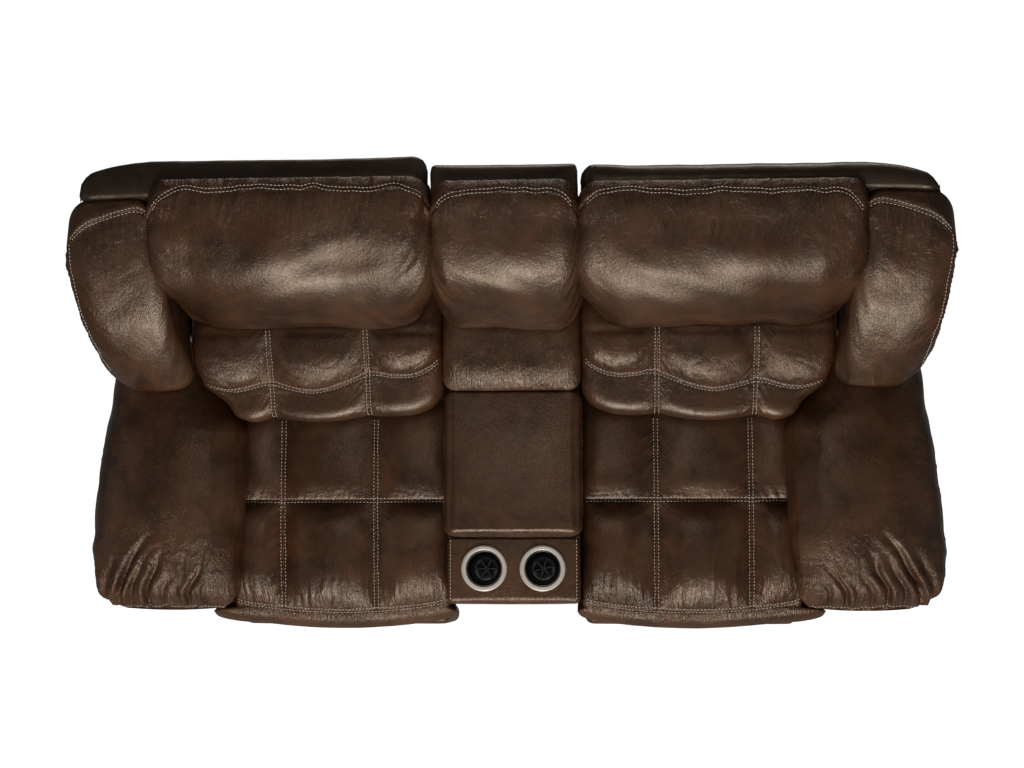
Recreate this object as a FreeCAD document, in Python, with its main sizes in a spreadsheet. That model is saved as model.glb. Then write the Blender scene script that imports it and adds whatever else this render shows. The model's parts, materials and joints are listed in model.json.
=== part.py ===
import FreeCAD, Part
import os
import Sketcher

# Reclining loveseat with a fixed console between two seats.
# Millimetres, +Z up, X across, the front faces -Y.
# The origin is on the floor, under the middle of the whole box.
# Left and right are as seen from the front.

DRIVING_SIZES = {
    # overall layout across
    "console_width": 314, "seat_gap": 5, "seat_width": 528, "arm_gap": 2, "arm_width": 238,
    # overall layout along the depth, from the middle
    "seat_front": 506, "arm_front": 440, "pillow_lead": 12, "console_front": 440,
    "back_rear": 506, "arm_rear": 330,
    # heights above the floor
    "foot_height": 25, "stretcher_height": 50, "arm_box_top": 500, "arm_top": 645, "seat_top": 505,
    "rear_panel_top": 265, "back_top": 985, "lid_top": 620, "cup_panel_top": 580,
    # boards and clearances
    "board": 15, "thick_board": 20, "rail": 25, "hair": 0.3, "run": 0.05, "edge": 6,
    # feet
    "foot_radius": 25, "foot_inset": 70,
    # mechanism
    "steel": 4, "step": 6, "plate_inset": 8, "rail_inset": 3, "rail_width": 10, "rail_height": 30,
    "plate_top": 300, "link_half": 10, "pin_radius": 4, "stud_radius": 5, "tube_radius": 9,
    "drive_y": -360, "drive_z": 275, "link_length": 170, "link_rest_angle": 25,
    "idler_shift_y": 70, "idler_shift_z": -20, "attach_y": -430, "attach_z": 325, "open_pin_play": 0.8,
    # seat frame and springs
    "seat_rail_top": 345, "seat_rail_front": -385, "seat_rail_rear": 190,
    "wire_radius": 2, "spring_count": 4, "spring_wave_count": 10, "spring_swing": 24,
    # seat cushion
    "seat_rear": 186, "cross_seam_y": -192, "seat_lip_z": 395, "seat_lip_y": -432, "front_bow": 24,
    "seam_depth": 12, "seat_lip_reach": 42, "seat_lip_height": 82,
    # back frame, measured along and across its rake
    "back_rake": 18.6, "back_panel": 20, "post_depth": 40, "post_width": 25, "post_inset": 14,
    "pivot_forward": 40.7, "pivot_z": 340, "pivot_radius": 6, "lug_half": 14, "post_foot": 40,
    "back_wide_from": 668, "band_depth": 55, "band_height": 62, "band_inner": 194, "band_outer": 925,
    # soft pieces of the back
    "head_bottom": 715, "head_crest": 1030, "head_front_y": 186, "head_front_z": 780, "head_outer": 757,
    "lumbar_bottom": 510, "lumbar_top": 706, "lumbar_front_y": -9, "lumbar_front_z": 612,
    "lumbar_outer": 684, "soft_inset": 4,
    "wing_inner": 761, "wing_outer": 979, "wing_front_y": 52, "wing_round": 34,
    # arm pillow
    "pillow_inner": 650, "pillow_outer": 990, "pillow_rear": 205, "pillow_rear_inner": 736,
    # footrest
    "footrest_gap": 4, "footrest_front": -494, "footrest_back": -446,
    "footrest_low": 95, "footrest_high": 376,
    "bracket_rear": -415, "bracket_low": 200, "bracket_high": 338, "bar_radius": 8, "bar_z": 235,
    # console
    "cup_x": 69, "cup_y": -358, "cup_radius": 42, "cup_wall": 2.5, "cup_depth": 78, "ring_radius": 53.5,
    "ring_height": 3.5, "cup_panel_rear": -288, "cup_panel_thick": 58, "lid_overhang": 8, "lid_front": -284,
    "lid_rear": 49, "lid_thick": 54, "lid_round": 16, "lid_pivot_y": 36, "lid_pivot_z": 572,
    "box_wall": 6, "box_front": -280, "box_rear": 24, "box_low": 340, "box_rim": 562, "deck_top": 552,
    "console_rear": 250, "ear_half": 60, "ear_length": 20, "ear_rise": 12, "ear_play": 2, "pin_reach": 55,
    "console_soft_half": 157, "console_lumbar_front": 90, "console_lumbar_low": 606,
    # release latch
    "latch_y": -240, "latch_z": 400, "latch_length": 116, "latch_height": 74, "latch_wall": 2.5,
    "latch_depth": 22, "latch_proud": 3, "paddle_length": 86, "paddle_thick": 4, "paddle_gap": 1,
    "paddle_sunk": 2, "latch_pin": 2,
}

doc = FreeCAD.newDocument("loveseat")
cells = doc.addObject("Spreadsheet::Sheet", "Sizes")
for row, (alias, number) in enumerate(DRIVING_SIZES.items(), start=1):
    cells.set("A%d" % row, alias)
    cells.set("B%d" % row, str(number))
    cells.setAlias("B%d" % row, alias)
doc.recompute()


class Size:
    """A length that knows its number and the expression over the sheet that gives it."""

    def __init__(self, text, value):
        self.text = text
        self.value = value

    def __add__(self, other):
        other = as_size(other)
        return Size("(%s + %s)" % (self.text, other.text), self.value + other.value)

    def __sub__(self, other):
        other = as_size(other)
        return Size("(%s - %s)" % (self.text, other.text), self.value - other.value)

    def __mul__(self, share):
        return Size("(%s * %r)" % (self.text, share), self.value * share)

    def __truediv__(self, share):
        return Size("(%s / %r)" % (self.text, share), self.value / share)

    def __neg__(self):
        return Size("(0 - %s)" % self.text, -self.value)

    def __float__(self):
        return float(self.value)


def as_size(thing):
    return thing if isinstance(thing, Size) else Size(repr(thing), thing)


def size(alias):
    return Size("Sizes.%s" % alias, float(cells.get(alias)))


def bind(thing, path, length):
    thing.setExpression(path, as_size(length).text)


def place(thing, x, y, z):
    for axis, length in zip("xyz", (x, y, z)):
        bind(thing, "Placement.Base.%s" % axis, length)


ZERO = Size("0", 0.0)
HALF = 0.5
FULL_TURN = 360
NODES = []


def node(thing, label):
    """Marks a document object as one sub-part of the loveseat."""
    thing.Label = label
    NODES.append(thing)
    return thing


def box(label, low, high):
    """A board between two corners, each given as three lengths."""
    thing = doc.addObject("Part::Box", label)
    for name, start, end in zip(("Length", "Width", "Height"), low, high):
        bind(thing, name, end - start)
    place(thing, *low)
    return thing


def rod(label, start, reach, radius):
    """A round bar that runs along +X from start."""
    thing = doc.addObject("Part::Cylinder", label)
    bind(thing, "Radius", radius)
    bind(thing, "Height", reach)
    thing.Placement = FreeCAD.Placement(FreeCAD.Vector(), FreeCAD.Rotation(FreeCAD.Vector(0, 1, 0), 90))
    place(thing, *start)
    return thing


def group(label, things):
    """Several separate solids that make one node."""
    thing = doc.addObject("Part::Compound", label)
    thing.Links = things
    return thing


def fused(label, things):
    thing = doc.addObject("Part::MultiFuse", label)
    thing.Shapes = things
    return thing


def cut(label, base, tool):
    thing = doc.addObject("Part::Cut", label)
    thing.Base = base
    thing.Tool = tool
    return thing


def span(side, inner, outer):
    """The low and high X of a stretch between two distances from the middle, on the left or the right."""
    return (inner, outer) if side > 0 else (-outer, -inner)


def origin_plane(body, role):
    return next(part for part in body.Origin.OriginFeatures if part.Role == role)


def outline(body, name, role, corners, circles=()):
    """A sketch on one origin plane: a closed outline of straight lines, and round holes in it."""
    sketch = body.newObject("Sketcher::SketchObject", name)
    sketch.AttachmentSupport = (origin_plane(body, role), [""])
    sketch.MapMode = "FlatFace"
    count = len(corners)
    for index, (u, v) in enumerate(corners):
        following = corners[(index + 1) % count]
        start = FreeCAD.Vector(float(u), float(v), 0)
        end = FreeCAD.Vector(float(following[0]), float(following[1]), 0)
        sketch.addGeometry(Part.LineSegment(start, end), False)
    for index in range(count):
        sketch.addConstraint(Sketcher.Constraint("Coincident", index, 2, (index + 1) % count, 1))
    for index, (u, v) in enumerate(corners):
        fix_point(sketch, index, 1, u, v, "corner%d" % index)
    for index, (u, v, radius) in enumerate(circles):
        centre = FreeCAD.Vector(float(u), float(v), 0)
        ring = sketch.addGeometry(Part.Circle(centre, FreeCAD.Vector(0, 0, 1), float(radius)), False)
        fix_point(sketch, ring, 3, u, v, "hole%d" % index)
        name_of_radius = "hole%d_radius" % index
        number = sketch.addConstraint(Sketcher.Constraint("Radius", ring, float(radius)))
        sketch.renameConstraint(number, name_of_radius)
        bind(sketch, "Constraints.%s" % name_of_radius, radius)
    return sketch


def fix_point(sketch, geometry, end, u, v, name):
    for kind, letter, length in (("DistanceX", "u", u), ("DistanceY", "v", v)):
        number = sketch.addConstraint(Sketcher.Constraint(kind, -1, 1, geometry, end, float(length)))
        sketch.renameConstraint(number, "%s_%s" % (name, letter))
        bind(sketch, "Constraints.%s_%s" % (name, letter), length)


def pad(body, sketch, length):
    feature = body.newObject("PartDesign::Pad", sketch.Name + "_pad")
    feature.Profile = sketch
    bind(feature, "Length", length)
    sketch.Visibility = False
    return feature


def side_plate(label, corners, thickness, x, circles=()):
    """A flat piece whose outline lies in the YZ plane, from x towards +X by its thickness."""
    body = doc.addObject("PartDesign::Body", label)
    pad(body, outline(body, label + "_outline", "YZ_Plane", corners, circles), thickness)
    place(body, x, ZERO, ZERO)
    return body


def section(lift, corners, sagittas):
    """A closed wire through flat corners. Each side is a line, or an arc that swells by its sagitta."""
    edges = []
    count = len(corners)
    for index, (start, sagitta) in enumerate(zip(corners, sagittas)):
        end = corners[(index + 1) % count]
        if sagitta == 0:
            edges.append(Part.makeLine(lift(*start), lift(*end)))
            continue
        run_u, run_v = end[0] - start[0], end[1] - start[1]
        chord = (run_u * run_u + run_v * run_v) ** HALF
        middle_u = (start[0] + end[0]) * HALF - run_v / chord * sagitta
        middle_v = (start[1] + end[1]) * HALF + run_u / chord * sagitta
        edges.append(Part.Arc(lift(*start), lift(middle_u, middle_v), lift(*end)).toShape())
    return Part.Wire(edges)


def lofted(label, wires):
    """A soft piece: one closed solid through its sections."""
    shape = Part.makeLoft(wires, True, False)
    thing = doc.addObject("Part::Feature", label)
    thing.Shape = shape
    return thing


def at_x(x):
    return lambda y, z: FreeCAD.Vector(x, y, z)


def at_y(y, side):
    return lambda x, z: FreeCAD.Vector(side * x, y, z)


def mixed(low, high, share):
    return low + (high - low) * share


ALONG_X = FreeCAD.Vector(1, 0, 0)
RAKE = FreeCAD.Rotation(ALONG_X, -float(size("back_rake")))
SIDES = (("left", -1), ("right", 1))

console_half = size("console_width") / 2
seat_inner = console_half + size("seat_gap")
seat_outer = seat_inner + size("seat_width")
arm_inner = seat_outer + size("arm_gap")
arm_outer = arm_inner + size("arm_width")
hair = size("hair")
floor_of_frame = size("foot_height")
stretcher_top = floor_of_frame + size("stretcher_height")
slide_top = stretcher_top + size("rail_height")
front_stretcher_y = size("seat_rail_front") - size("board")
inner_seam_share = 0.345
outer_seam_share = 0.773
steel = size("steel")
layer_plate = size("plate_inset")
layer_link = layer_plate + size("step")
layer_carrier = layer_link + size("step")
layer_bracket = layer_carrier + size("step")


def raked_line(height, forward):
    """The Y of the back's rear face at a height, or of a plane parallel to it that much further forward."""
    lean = RAKE.multVec(FreeCAD.Vector(0, 0, 1))
    rise = float(size("back_top")) - float(height)
    return float(size("back_rear")) - rise * lean.y / lean.z - float(forward) / lean.z


def raked_size(height, forward):
    """The same Y, as a length that the sheet drives."""
    text = "(Sizes.back_rear - (Sizes.back_top - %s) * tan(Sizes.back_rake) - %s / cos(Sizes.back_rake))"
    return Size(text % (height.text, forward.text), raked_line(height, forward))


pivot_y = raked_size(size("pivot_z"), size("pivot_forward"))
rear_stretcher_y = pivot_y + size("rail")


def raked_box(label, low_x, high_x, near, far, foot, head):
    """A board that lies along the back's rake, between two depths in front of its rear face."""
    thing = doc.addObject("Part::Box", label)
    bind(thing, "Length", high_x - low_x)
    bind(thing, "Width", far - near)
    lean = RAKE.multVec(FreeCAD.Vector(0, 0, 1))
    thing.Height = (float(head) - float(foot)) / lean.z
    corner = FreeCAD.Vector(float(low_x), raked_line(foot, far), float(foot))
    thing.Placement = FreeCAD.Placement(corner, RAKE)
    return thing


def stretcher(label, y):
    reach = arm_outer - size("thick_board")
    low = (-reach, y, floor_of_frame)
    return node(box(label, low, (reach, y + size("rail"), stretcher_top)), label)


def make_feet():
    feet = []
    outer_x = arm_outer - size("foot_inset")
    for x in (-outer_x, -console_half, console_half, outer_x):
        for y in (front_stretcher_y, rear_stretcher_y):
            foot = doc.addObject("Part::Cylinder", "foot")
            bind(foot, "Radius", size("foot_radius"))
            bind(foot, "Height", floor_of_frame)
            place(foot, x, y + size("rail") / 2, ZERO)
            feet.append(foot)
    node(group("feet", feet), "feet")


def make_slide_rails():
    rails = []
    for name, side in SIDES:
        for start in (seat_inner + size("rail_inset"), seat_outer - size("rail_inset") - size("rail_width")):
            low_x, high_x = span(side, start, start + size("rail_width"))
            low = (low_x, front_stretcher_y, stretcher_top)
            high = (high_x, rear_stretcher_y + size("rail"), slide_top)
            rails.append(box(name + "_slide_rail", low, high))
    node(group("slide_rails", rails), "slide_rails")


def make_rear_panels():
    """A low panel behind the mechanism, and a taller one that closes each arm."""
    near = rear_stretcher_y + size("rail") + hair
    far = near + size("board")
    side_reach = arm_outer - size("thick_board") - hair
    panels = [box("rear_panel", (-arm_inner + hair, near, floor_of_frame),
                  (arm_inner - hair, far, size("rear_panel_top")))]
    for name, side in SIDES:
        low_x, high_x = span(side, arm_inner + size("board") + hair, side_reach)
        panels.append(box(name + "_arm_rear_panel", (low_x, near, floor_of_frame),
                          (high_x, far, size("arm_box_top"))))
    node(group("rear_panels", panels), "rear_panels")


def make_arm(name, side):
    """The arm is a box of boards with a front panel, and a stuffed pillow lies on it."""
    board, thick = size("board"), size("thick_board")
    front_y = -size("arm_front")
    back_y = size("arm_rear")
    low_x, high_x = span(side, arm_inner, arm_inner + board)
    low = (low_x, front_y + board, stretcher_top)
    inner = box(name + "_arm_inner_board", low, (high_x, back_y, size("arm_box_top")))
    node(inner, name + "_arm_inner_board")
    low_x, high_x = span(side, arm_inner, arm_outer)
    front = box(name + "_arm_front_panel", (low_x, front_y, floor_of_frame),
                (high_x, front_y + board, size("arm_box_top")))
    node(front, name + "_arm_front_panel")
    low_x, high_x = span(side, arm_outer - thick, arm_outer)
    panel = box(name + "_arm_side_board", (low_x, front_y + board, floor_of_frame),
                (high_x, back_y, size("arm_box_top")))
    half_length, half_height = size("latch_length") / 2, size("latch_height") / 2
    window = box(name + "_latch_window",
                 (low_x - thick, size("latch_y") - half_length, size("latch_z") - half_height),
                 (high_x + thick, size("latch_y") + half_length, size("latch_z") + half_height))
    node(cut(name + "_arm_side_panel", panel, window), name + "_arm_side_panel")
    make_pillow(name, side)


def make_pillow(name, side):
    """Sections across the arm, from its rounded front to its rear end under the wing."""
    low = float(size("arm_box_top") + hair)
    front = -float(size("arm_front") + size("pillow_lead"))
    rear = float(size("pillow_rear"))
    inner, outer = float(size("pillow_inner")), float(size("pillow_outer"))
    rear_inner = float(size("pillow_rear_inner"))
    foot_in, foot_out = float(arm_inner + size("board")), float(arm_outer)
    edge = float(size("edge"))
    length, height, wide = rear - front, float(size("arm_top")) - low, outer - inner
    # share of the length, of the width drawn in at each side, and of the height
    station_shares = ((0, 0.26, 0.22, 0.55), (0.035, 0.14, 0.08, 0.82), (0.12, 0.04, 0.01, 0.97),
                      (0.42, 0, 0, 1), (0.62, 0, 0.02, 1))
    stations = []
    for at, inset, outset, rise in station_shares:
        stations.append((front + at * length, inner + inset * wide,
                         outer - outset * wide, low + rise * height))
    tail_share, tail_inset_share, shoulder_share, waist_share, swell_share = 0.74, 0.06, 0.86, 0.4, 0.1
    corner_share = 0.18
    stations.append((front + length * tail_share, rear_inner,
                     outer - wide * tail_inset_share, low + height - edge))
    stations.append((rear, rear_inner + edge, foot_out, low + height * tail_share))
    wires = []
    for y, near, far, crest in stations:
        waist, shoulder = mixed(low, crest, waist_share), mixed(low, crest, shoulder_share)
        corners = [(max(foot_in, near + edge), low), (near, waist),
                   (mixed(near, far, corner_share), shoulder),
                   (mixed(far, near, corner_share), shoulder), (far, waist), (min(foot_out, far - edge), low)]
        swell = (crest - low) * swell_share
        sagittas = [swell * HALF, swell, swell, swell, swell * HALF, 0]
        wires.append(section(at_y(y, side), corners, sagittas))
    node(lofted(name + "_arm_pillow", wires), name + "_arm_pillow")


def make_latch(name, side):
    """A moulded tub is sunk into the arm's side panel, and a sprung paddle lies in its mouth."""
    wall = size("latch_wall")
    half_length = size("latch_length") / 2 - hair
    half_height = size("latch_height") / 2 - hair
    y, z = size("latch_y"), size("latch_z")
    mouth = arm_outer + size("latch_proud")
    floor = arm_outer - size("latch_depth")
    low_x, high_x = span(side, floor, mouth)
    tub = box(name + "_tub_block", (low_x, y - half_length, z - half_height),
              (high_x, y + half_length, z + half_height))
    low_x, high_x = span(side, floor + wall, mouth + wall)
    hollow = box(name + "_tub_hollow", (low_x, y - half_length + wall, z - half_height + wall),
                 (high_x, y + half_length - wall, z + half_height - wall))
    tub = cut(name + "_latch_tub", tub, hollow)
    pin_x = arm_outer - size("paddle_thick") / 2 - size("paddle_sunk")
    pin_y = y - half_length + wall + size("paddle_gap") + size("paddle_thick")
    paddle_half = half_height - wall - size("paddle_gap")
    low_x, high_x = span(side, pin_x - size("paddle_thick") / 2, pin_x + size("paddle_thick") / 2)
    blade = box(name + "_paddle_blade", (low_x, pin_y, z - paddle_half),
                (high_x, pin_y + size("paddle_length"), z + paddle_half))
    knuckle = doc.addObject("Part::Cylinder", name + "_paddle_knuckle")
    bind(knuckle, "Radius", size("paddle_thick") / 2 + size("paddle_gap") / 2)
    bind(knuckle, "Height", paddle_half * 2)
    place(knuckle, pin_x * side, pin_y, z - paddle_half)
    pin = doc.addObject("Part::Cylinder", name + "_paddle_pin")
    bind(pin, "Radius", size("latch_pin") - size("run"))
    bind(pin, "Height", half_height * 2 - wall)
    place(pin, pin_x * side, pin_y, z - half_height + wall / 2)
    seat = doc.addObject("Part::Cylinder", name + "_pin_seat")
    bind(seat, "Radius", size("latch_pin"))
    bind(seat, "Height", half_height * 2 - wall)
    place(seat, pin_x * side, pin_y, z - half_height + wall / 2)
    node(fused(name + "_latch_paddle", [blade, knuckle, pin]), name + "_latch_paddle")
    return cut(name + "_latch_tub_bored", tub, seat)


def make_console():
    """Two side panels carry the front panel, the cup panel, the lid, the storage box and the fixed back."""
    board = size("board")
    front_y = -size("console_front") + size("edge")
    step_y = size("cup_panel_rear")
    cup_floor = size("cup_panel_top") - size("cup_panel_thick") - hair
    rim_y = size("box_rear")
    profile = [(front_y + board, stretcher_top), (size("console_rear"), stretcher_top),
               (size("console_rear"), size("deck_top")), (rim_y, size("deck_top")), (rim_y, size("box_rim")),
               (step_y, size("box_rim")), (step_y, cup_floor), (front_y + board, cup_floor)]
    panels = [side_plate("console_left_side", profile, board, -console_half),
              side_plate("console_right_side", profile, board, console_half - board)]
    node(group("console_side_panels", panels), "console_side_panels")
    front = box("console_front_panel", (-console_half, front_y, stretcher_top),
                (console_half, front_y + board, cup_floor))
    node(front, "console_front_panel")
    inside = console_half - board - hair
    deck = box("console_deck", (-inside, rim_y + hair, size("deck_top") - board),
               (inside, size("console_rear"), size("deck_top")))
    node(deck, "console_deck")
    wall = size("box_wall")
    tub = box("storage_block", (-inside, size("box_front"), size("box_low")),
              (inside, rim_y, size("box_rim")))
    hollow = box("storage_hollow", (-inside + wall, size("box_front") + wall, size("box_low") + wall),
                 (inside - wall, rim_y - wall, size("box_rim") + wall))
    node(cut("console_storage_box", tub, hollow), "console_storage_box")
    make_cups()
    make_lid()
    back = raked_box("console_back_frame", -inside, inside, ZERO,
                     size("band_depth") + size("edge"), size("box_low"), size("back_top"))
    node(back, "console_back_frame")


def make_cups():
    """The cup panel, the two bright rings and the cups that hang in its holes."""
    top = size("cup_panel_top")
    low = top - size("cup_panel_thick")
    body = doc.addObject("PartDesign::Body", "console_cup_panel")
    front_y, rear_y = -size("console_front"), size("cup_panel_rear") - hair
    corners = [(-console_half, front_y), (console_half, front_y),
               (console_half, rear_y), (-console_half, rear_y)]
    hole = size("cup_radius") + hair
    circles = [(size("cup_x"), size("cup_y"), hole), (-size("cup_x"), size("cup_y"), hole)]
    slab = pad(body, outline(body, "cup_panel_outline", "XY_Plane", corners, circles), top - low)
    place(body, ZERO, ZERO, low)
    doc.recompute()
    rounded = body.newObject("PartDesign::Fillet", "cup_panel_rounding")
    rounded.Base = (slab, upper_rim(slab.Shape, float(top - low), float(console_half), float(front_y)))
    bind(rounded, "Radius", size("lid_round"))
    node(body, "console_cup_panel")
    rings, cups = [], []
    for side in (-1, 1):
        x = size("cup_x") * side
        rings.append(turned("cup_ring", x, size("cup_y"), [
            (size("cup_radius") + hair, top), (size("ring_radius"), top),
            (size("ring_radius") - size("ring_height") / 2, top + size("ring_height")),
            (size("cup_radius") + hair, top + size("ring_height"))]))
        floor = top - size("cup_depth")
        wall = size("cup_wall")
        outer, inner = size("cup_radius"), size("cup_radius") - wall
        lip = top + size("ring_height")
        cups.append(turned("cup_liner", x, size("cup_y"), [
            (ZERO, floor), (outer - wall, floor), (outer, floor + wall), (outer, lip),
            (inner, lip), (inner - wall, floor + wall), (ZERO, floor + wall)]))
    node(group("cup_rings", rings), "cup_rings")
    node(group("cup_liners", cups), "cup_liners")


def upper_rim(shape, height, half_width, front):
    """Names of the straight edges around the top face, without the holes and the rear."""
    names = []
    for index, edge in enumerate(shape.Edges, start=1):
        centre = edge.BoundBox.Center
        flat = edge.BoundBox.ZLength < float(hair) and abs(centre.z - height) < float(hair)
        at_side = abs(abs(centre.x) - half_width) < float(hair)
        at_front = abs(centre.y - front) < float(hair)
        if flat and (at_side or at_front):
            names.append("Edge%d" % index)
    return names


def turned(label, x, y, profile):
    """A round piece about a vertical axis at x, y, from a profile of radius and height."""
    body = doc.addObject("PartDesign::Body", label)
    sketch = outline(body, label + "_profile", "XZ_Plane", profile)
    feature = body.newObject("PartDesign::Revolution", label + "_turn")
    feature.Profile = sketch
    feature.ReferenceAxis = (sketch, ["V_Axis"])
    feature.Angle = FULL_TURN
    place(body, x, y, ZERO)
    return body


def make_lid():
    """The padded lid turns on a rod that stands on a small block at its rear."""
    half = console_half + size("lid_overhang")
    ear_depth = size("ear_length")
    low = size("lid_top") - size("lid_thick")
    block = box("lid_block", (-half, size("lid_front"), low), (half, size("lid_rear"), size("lid_top")))
    rounded = doc.addObject("Part::Fillet", "lid_padding")
    rounded.Base = block
    doc.recompute()
    radius = float(size("lid_round"))
    edges = []
    for index, edge in enumerate(block.Shape.Edges, start=1):
        if edge.BoundBox.Center.z > float(low + size("lid_thick") / 4):
            edges.append((index, radius, radius))
    rounded.Edges = edges
    axle_y, axle_z = size("lid_pivot_y"), size("lid_pivot_z")
    ear, rise, play = size("ear_half"), size("ear_rise"), size("ear_play")
    notch = box("lid_notch", (-ear - play, axle_y - ear_depth - play * 2, low - rise),
                (ear + play, size("lid_rear") + rise, axle_z + rise + play * 2))
    reach = ear + size("pin_reach")
    bore_radius = size("pin_radius") + size("run")
    bore = rod("lid_bore", (-reach - play, axle_y, axle_z), (reach + play) * 2, bore_radius)
    node(cut("console_lid", cut("lid_notched", rounded, notch), bore), "console_lid")
    ear_block = box("hinge_block", (-ear, axle_y - ear_depth / 2, size("deck_top")),
                    (ear, axle_y + ear_depth / 2, axle_z + rise))
    pin = rod("hinge_rod", (-reach, axle_y, axle_z), reach * 2, size("pin_radius"))
    node(fused("lid_hinge", [ear_block, pin]), "lid_hinge")



def layer(edge_side, inset, thickness):
    """Where a plate starts, at an inset from the seat's inner (-1) or outer (1) edge, before mirroring."""
    return seat_inner + inset if edge_side < 0 else seat_outer - inset - thickness


def plate_at(label, side, edge_side, inset, thickness, corners, circles=()):
    start = layer(edge_side, inset, thickness)
    low_x, high_x = span(side, start, start + thickness)
    return side_plate(label, corners, thickness, low_x, circles)


def stub(label, side, edge_side, inset, length, y, z, radius):
    start = layer(edge_side, inset, length)
    low_x, high_x = span(side, start, start + length)
    return rod(label, (low_x, y, z), length, radius)


def bar_corners(start, end, half):
    """The four corners of a flat bar around two pivots, each pivot half a width from its end."""
    along = FreeCAD.Vector(float(end[0]) - float(start[0]), float(end[1]) - float(start[1]), 0)
    along.normalize()
    across = FreeCAD.Vector(-along.y, along.x, 0)
    places = ((start, -1, -1), (end, 1, -1), (end, 1, 1), (start, -1, 1))
    return [(pivot[0] + half * (along.x * way) + half * (across.x * side),
             pivot[1] + half * (along.y * way) + half * (across.y * side)) for pivot, way, side in places]


link_lean = FreeCAD.Rotation(ALONG_X, float(size("link_rest_angle"))).multVec(FreeCAD.Vector(0, 0, -1))
drive = (size("drive_y"), size("drive_z"))
knee = (drive[0] + size("link_length") * link_lean.y, drive[1] + size("link_length") * link_lean.z)
idler = (drive[0] + size("idler_shift_y"), drive[1] + size("idler_shift_z"))
idler_knee = (knee[0] + size("idler_shift_y"), knee[1] + size("idler_shift_z"))
attach = (size("attach_y"), size("attach_z"))


def make_mechanism(name, side):
    """Side plates carry the seat, the back's pivots and the links of the footrest."""
    lugs, drives, idlers, carriers = [], [], [], []
    half = size("link_half")
    pin, run = size("pin_radius"), size("run")
    low, high = slide_top + hair, size("plate_top")
    pivot = (pivot_y, size("pivot_z"))
    lug = size("lug_half")
    shape = [(size("seat_rail_front"), low), (pivot[0] + lug, low), (pivot[0] + lug, pivot[1] + lug),
             (pivot[0] - lug, pivot[1] + lug), (pivot[0] - lug, high), (size("seat_rail_front"), high)]
    for end, edge_side in (("inner", -1), ("outer", 1)):
        tag = "%s_%s_" % (name, end)
        plate = plate_at(tag + "plate", side, edge_side, layer_plate, steel, shape)
        outward = layer_plate + steel
        short = layer_link + steel - outward - hair
        long = size("post_inset") + size("post_width") - outward
        studs = [stub(tag + "drive_stud", side, edge_side, outward, short, *drive, size("stud_radius")),
                 stub(tag + "idler_stud", side, edge_side, outward, short, *idler, size("stud_radius")),
                 stub(tag + "back_stud", side, edge_side, outward, long, *pivot, size("pivot_radius"))]
        lugs.append(fused(tag + "side_plate", [plate] + studs))
        eye = size("stud_radius") + run
        link = plate_at(tag + "drive_bar", side, edge_side, layer_link, steel, bar_corners(drive, knee, half),
                        [(drive[0], drive[1], eye)])
        knee_pin = stub(tag + "knee_pin", side, edge_side, layer_link + steel, layer_carrier - layer_link,
                        *knee, pin)
        drives += [link, knee_pin]
        loose = pin + size("open_pin_play")
        idlers.append(plate_at(tag + "idler_bar", side, edge_side, layer_link, steel,
                               bar_corners(idler, idler_knee, half),
                               [(idler[0], idler[1], eye), (idler_knee[0], idler_knee[1], loose)]))
        carriers.append(make_carrier(tag, side, edge_side))
    tube_start = seat_inner + layer_link + steel
    tube_end = seat_outer - layer_link - steel
    low_x, high_x = span(side, tube_start, tube_end)
    tube = rod(name + "_torque_tube", (low_x, *drive), tube_end - tube_start, size("tube_radius"))
    drives.append(tube)
    node(group(name + "_side_plates", lugs), name + "_side_plates")
    node(fused(name + "_drive_links", drives), name + "_drive_links")
    node(group(name + "_idler_links", idlers), name + "_idler_links")
    node(group(name + "_carrier_links", carriers), name + "_carrier_links")


def make_carrier(tag, side, edge_side):
    """A bent plate from the idler's pin past the knee to the footrest's pivot."""
    half, run = size("link_half"), size("run")
    pin = size("pin_radius")
    lower = plate_at(tag + "carrier_foot", side, edge_side, layer_carrier, steel,
                     bar_corners(idler_knee, knee, half), [(knee[0], knee[1], pin + run)])
    upper = plate_at(tag + "carrier_arm", side, edge_side, layer_carrier, steel,
                     bar_corners(knee, attach, half),
                     [(knee[0], knee[1], pin + run), (attach[0], attach[1], pin + run)])
    reach = layer_carrier - layer_link
    loose_pin = stub(tag + "idler_pin", side, edge_side, layer_link, reach, *idler_knee, pin)
    joined = fused(tag + "carrier_solid", [lower, upper, loose_pin])
    eye = stub(tag + "carrier_eye", side, edge_side, layer_carrier - steel / 2, steel * 2, *knee, pin + run)
    return cut(tag + "carrier", joined, eye)


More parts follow.
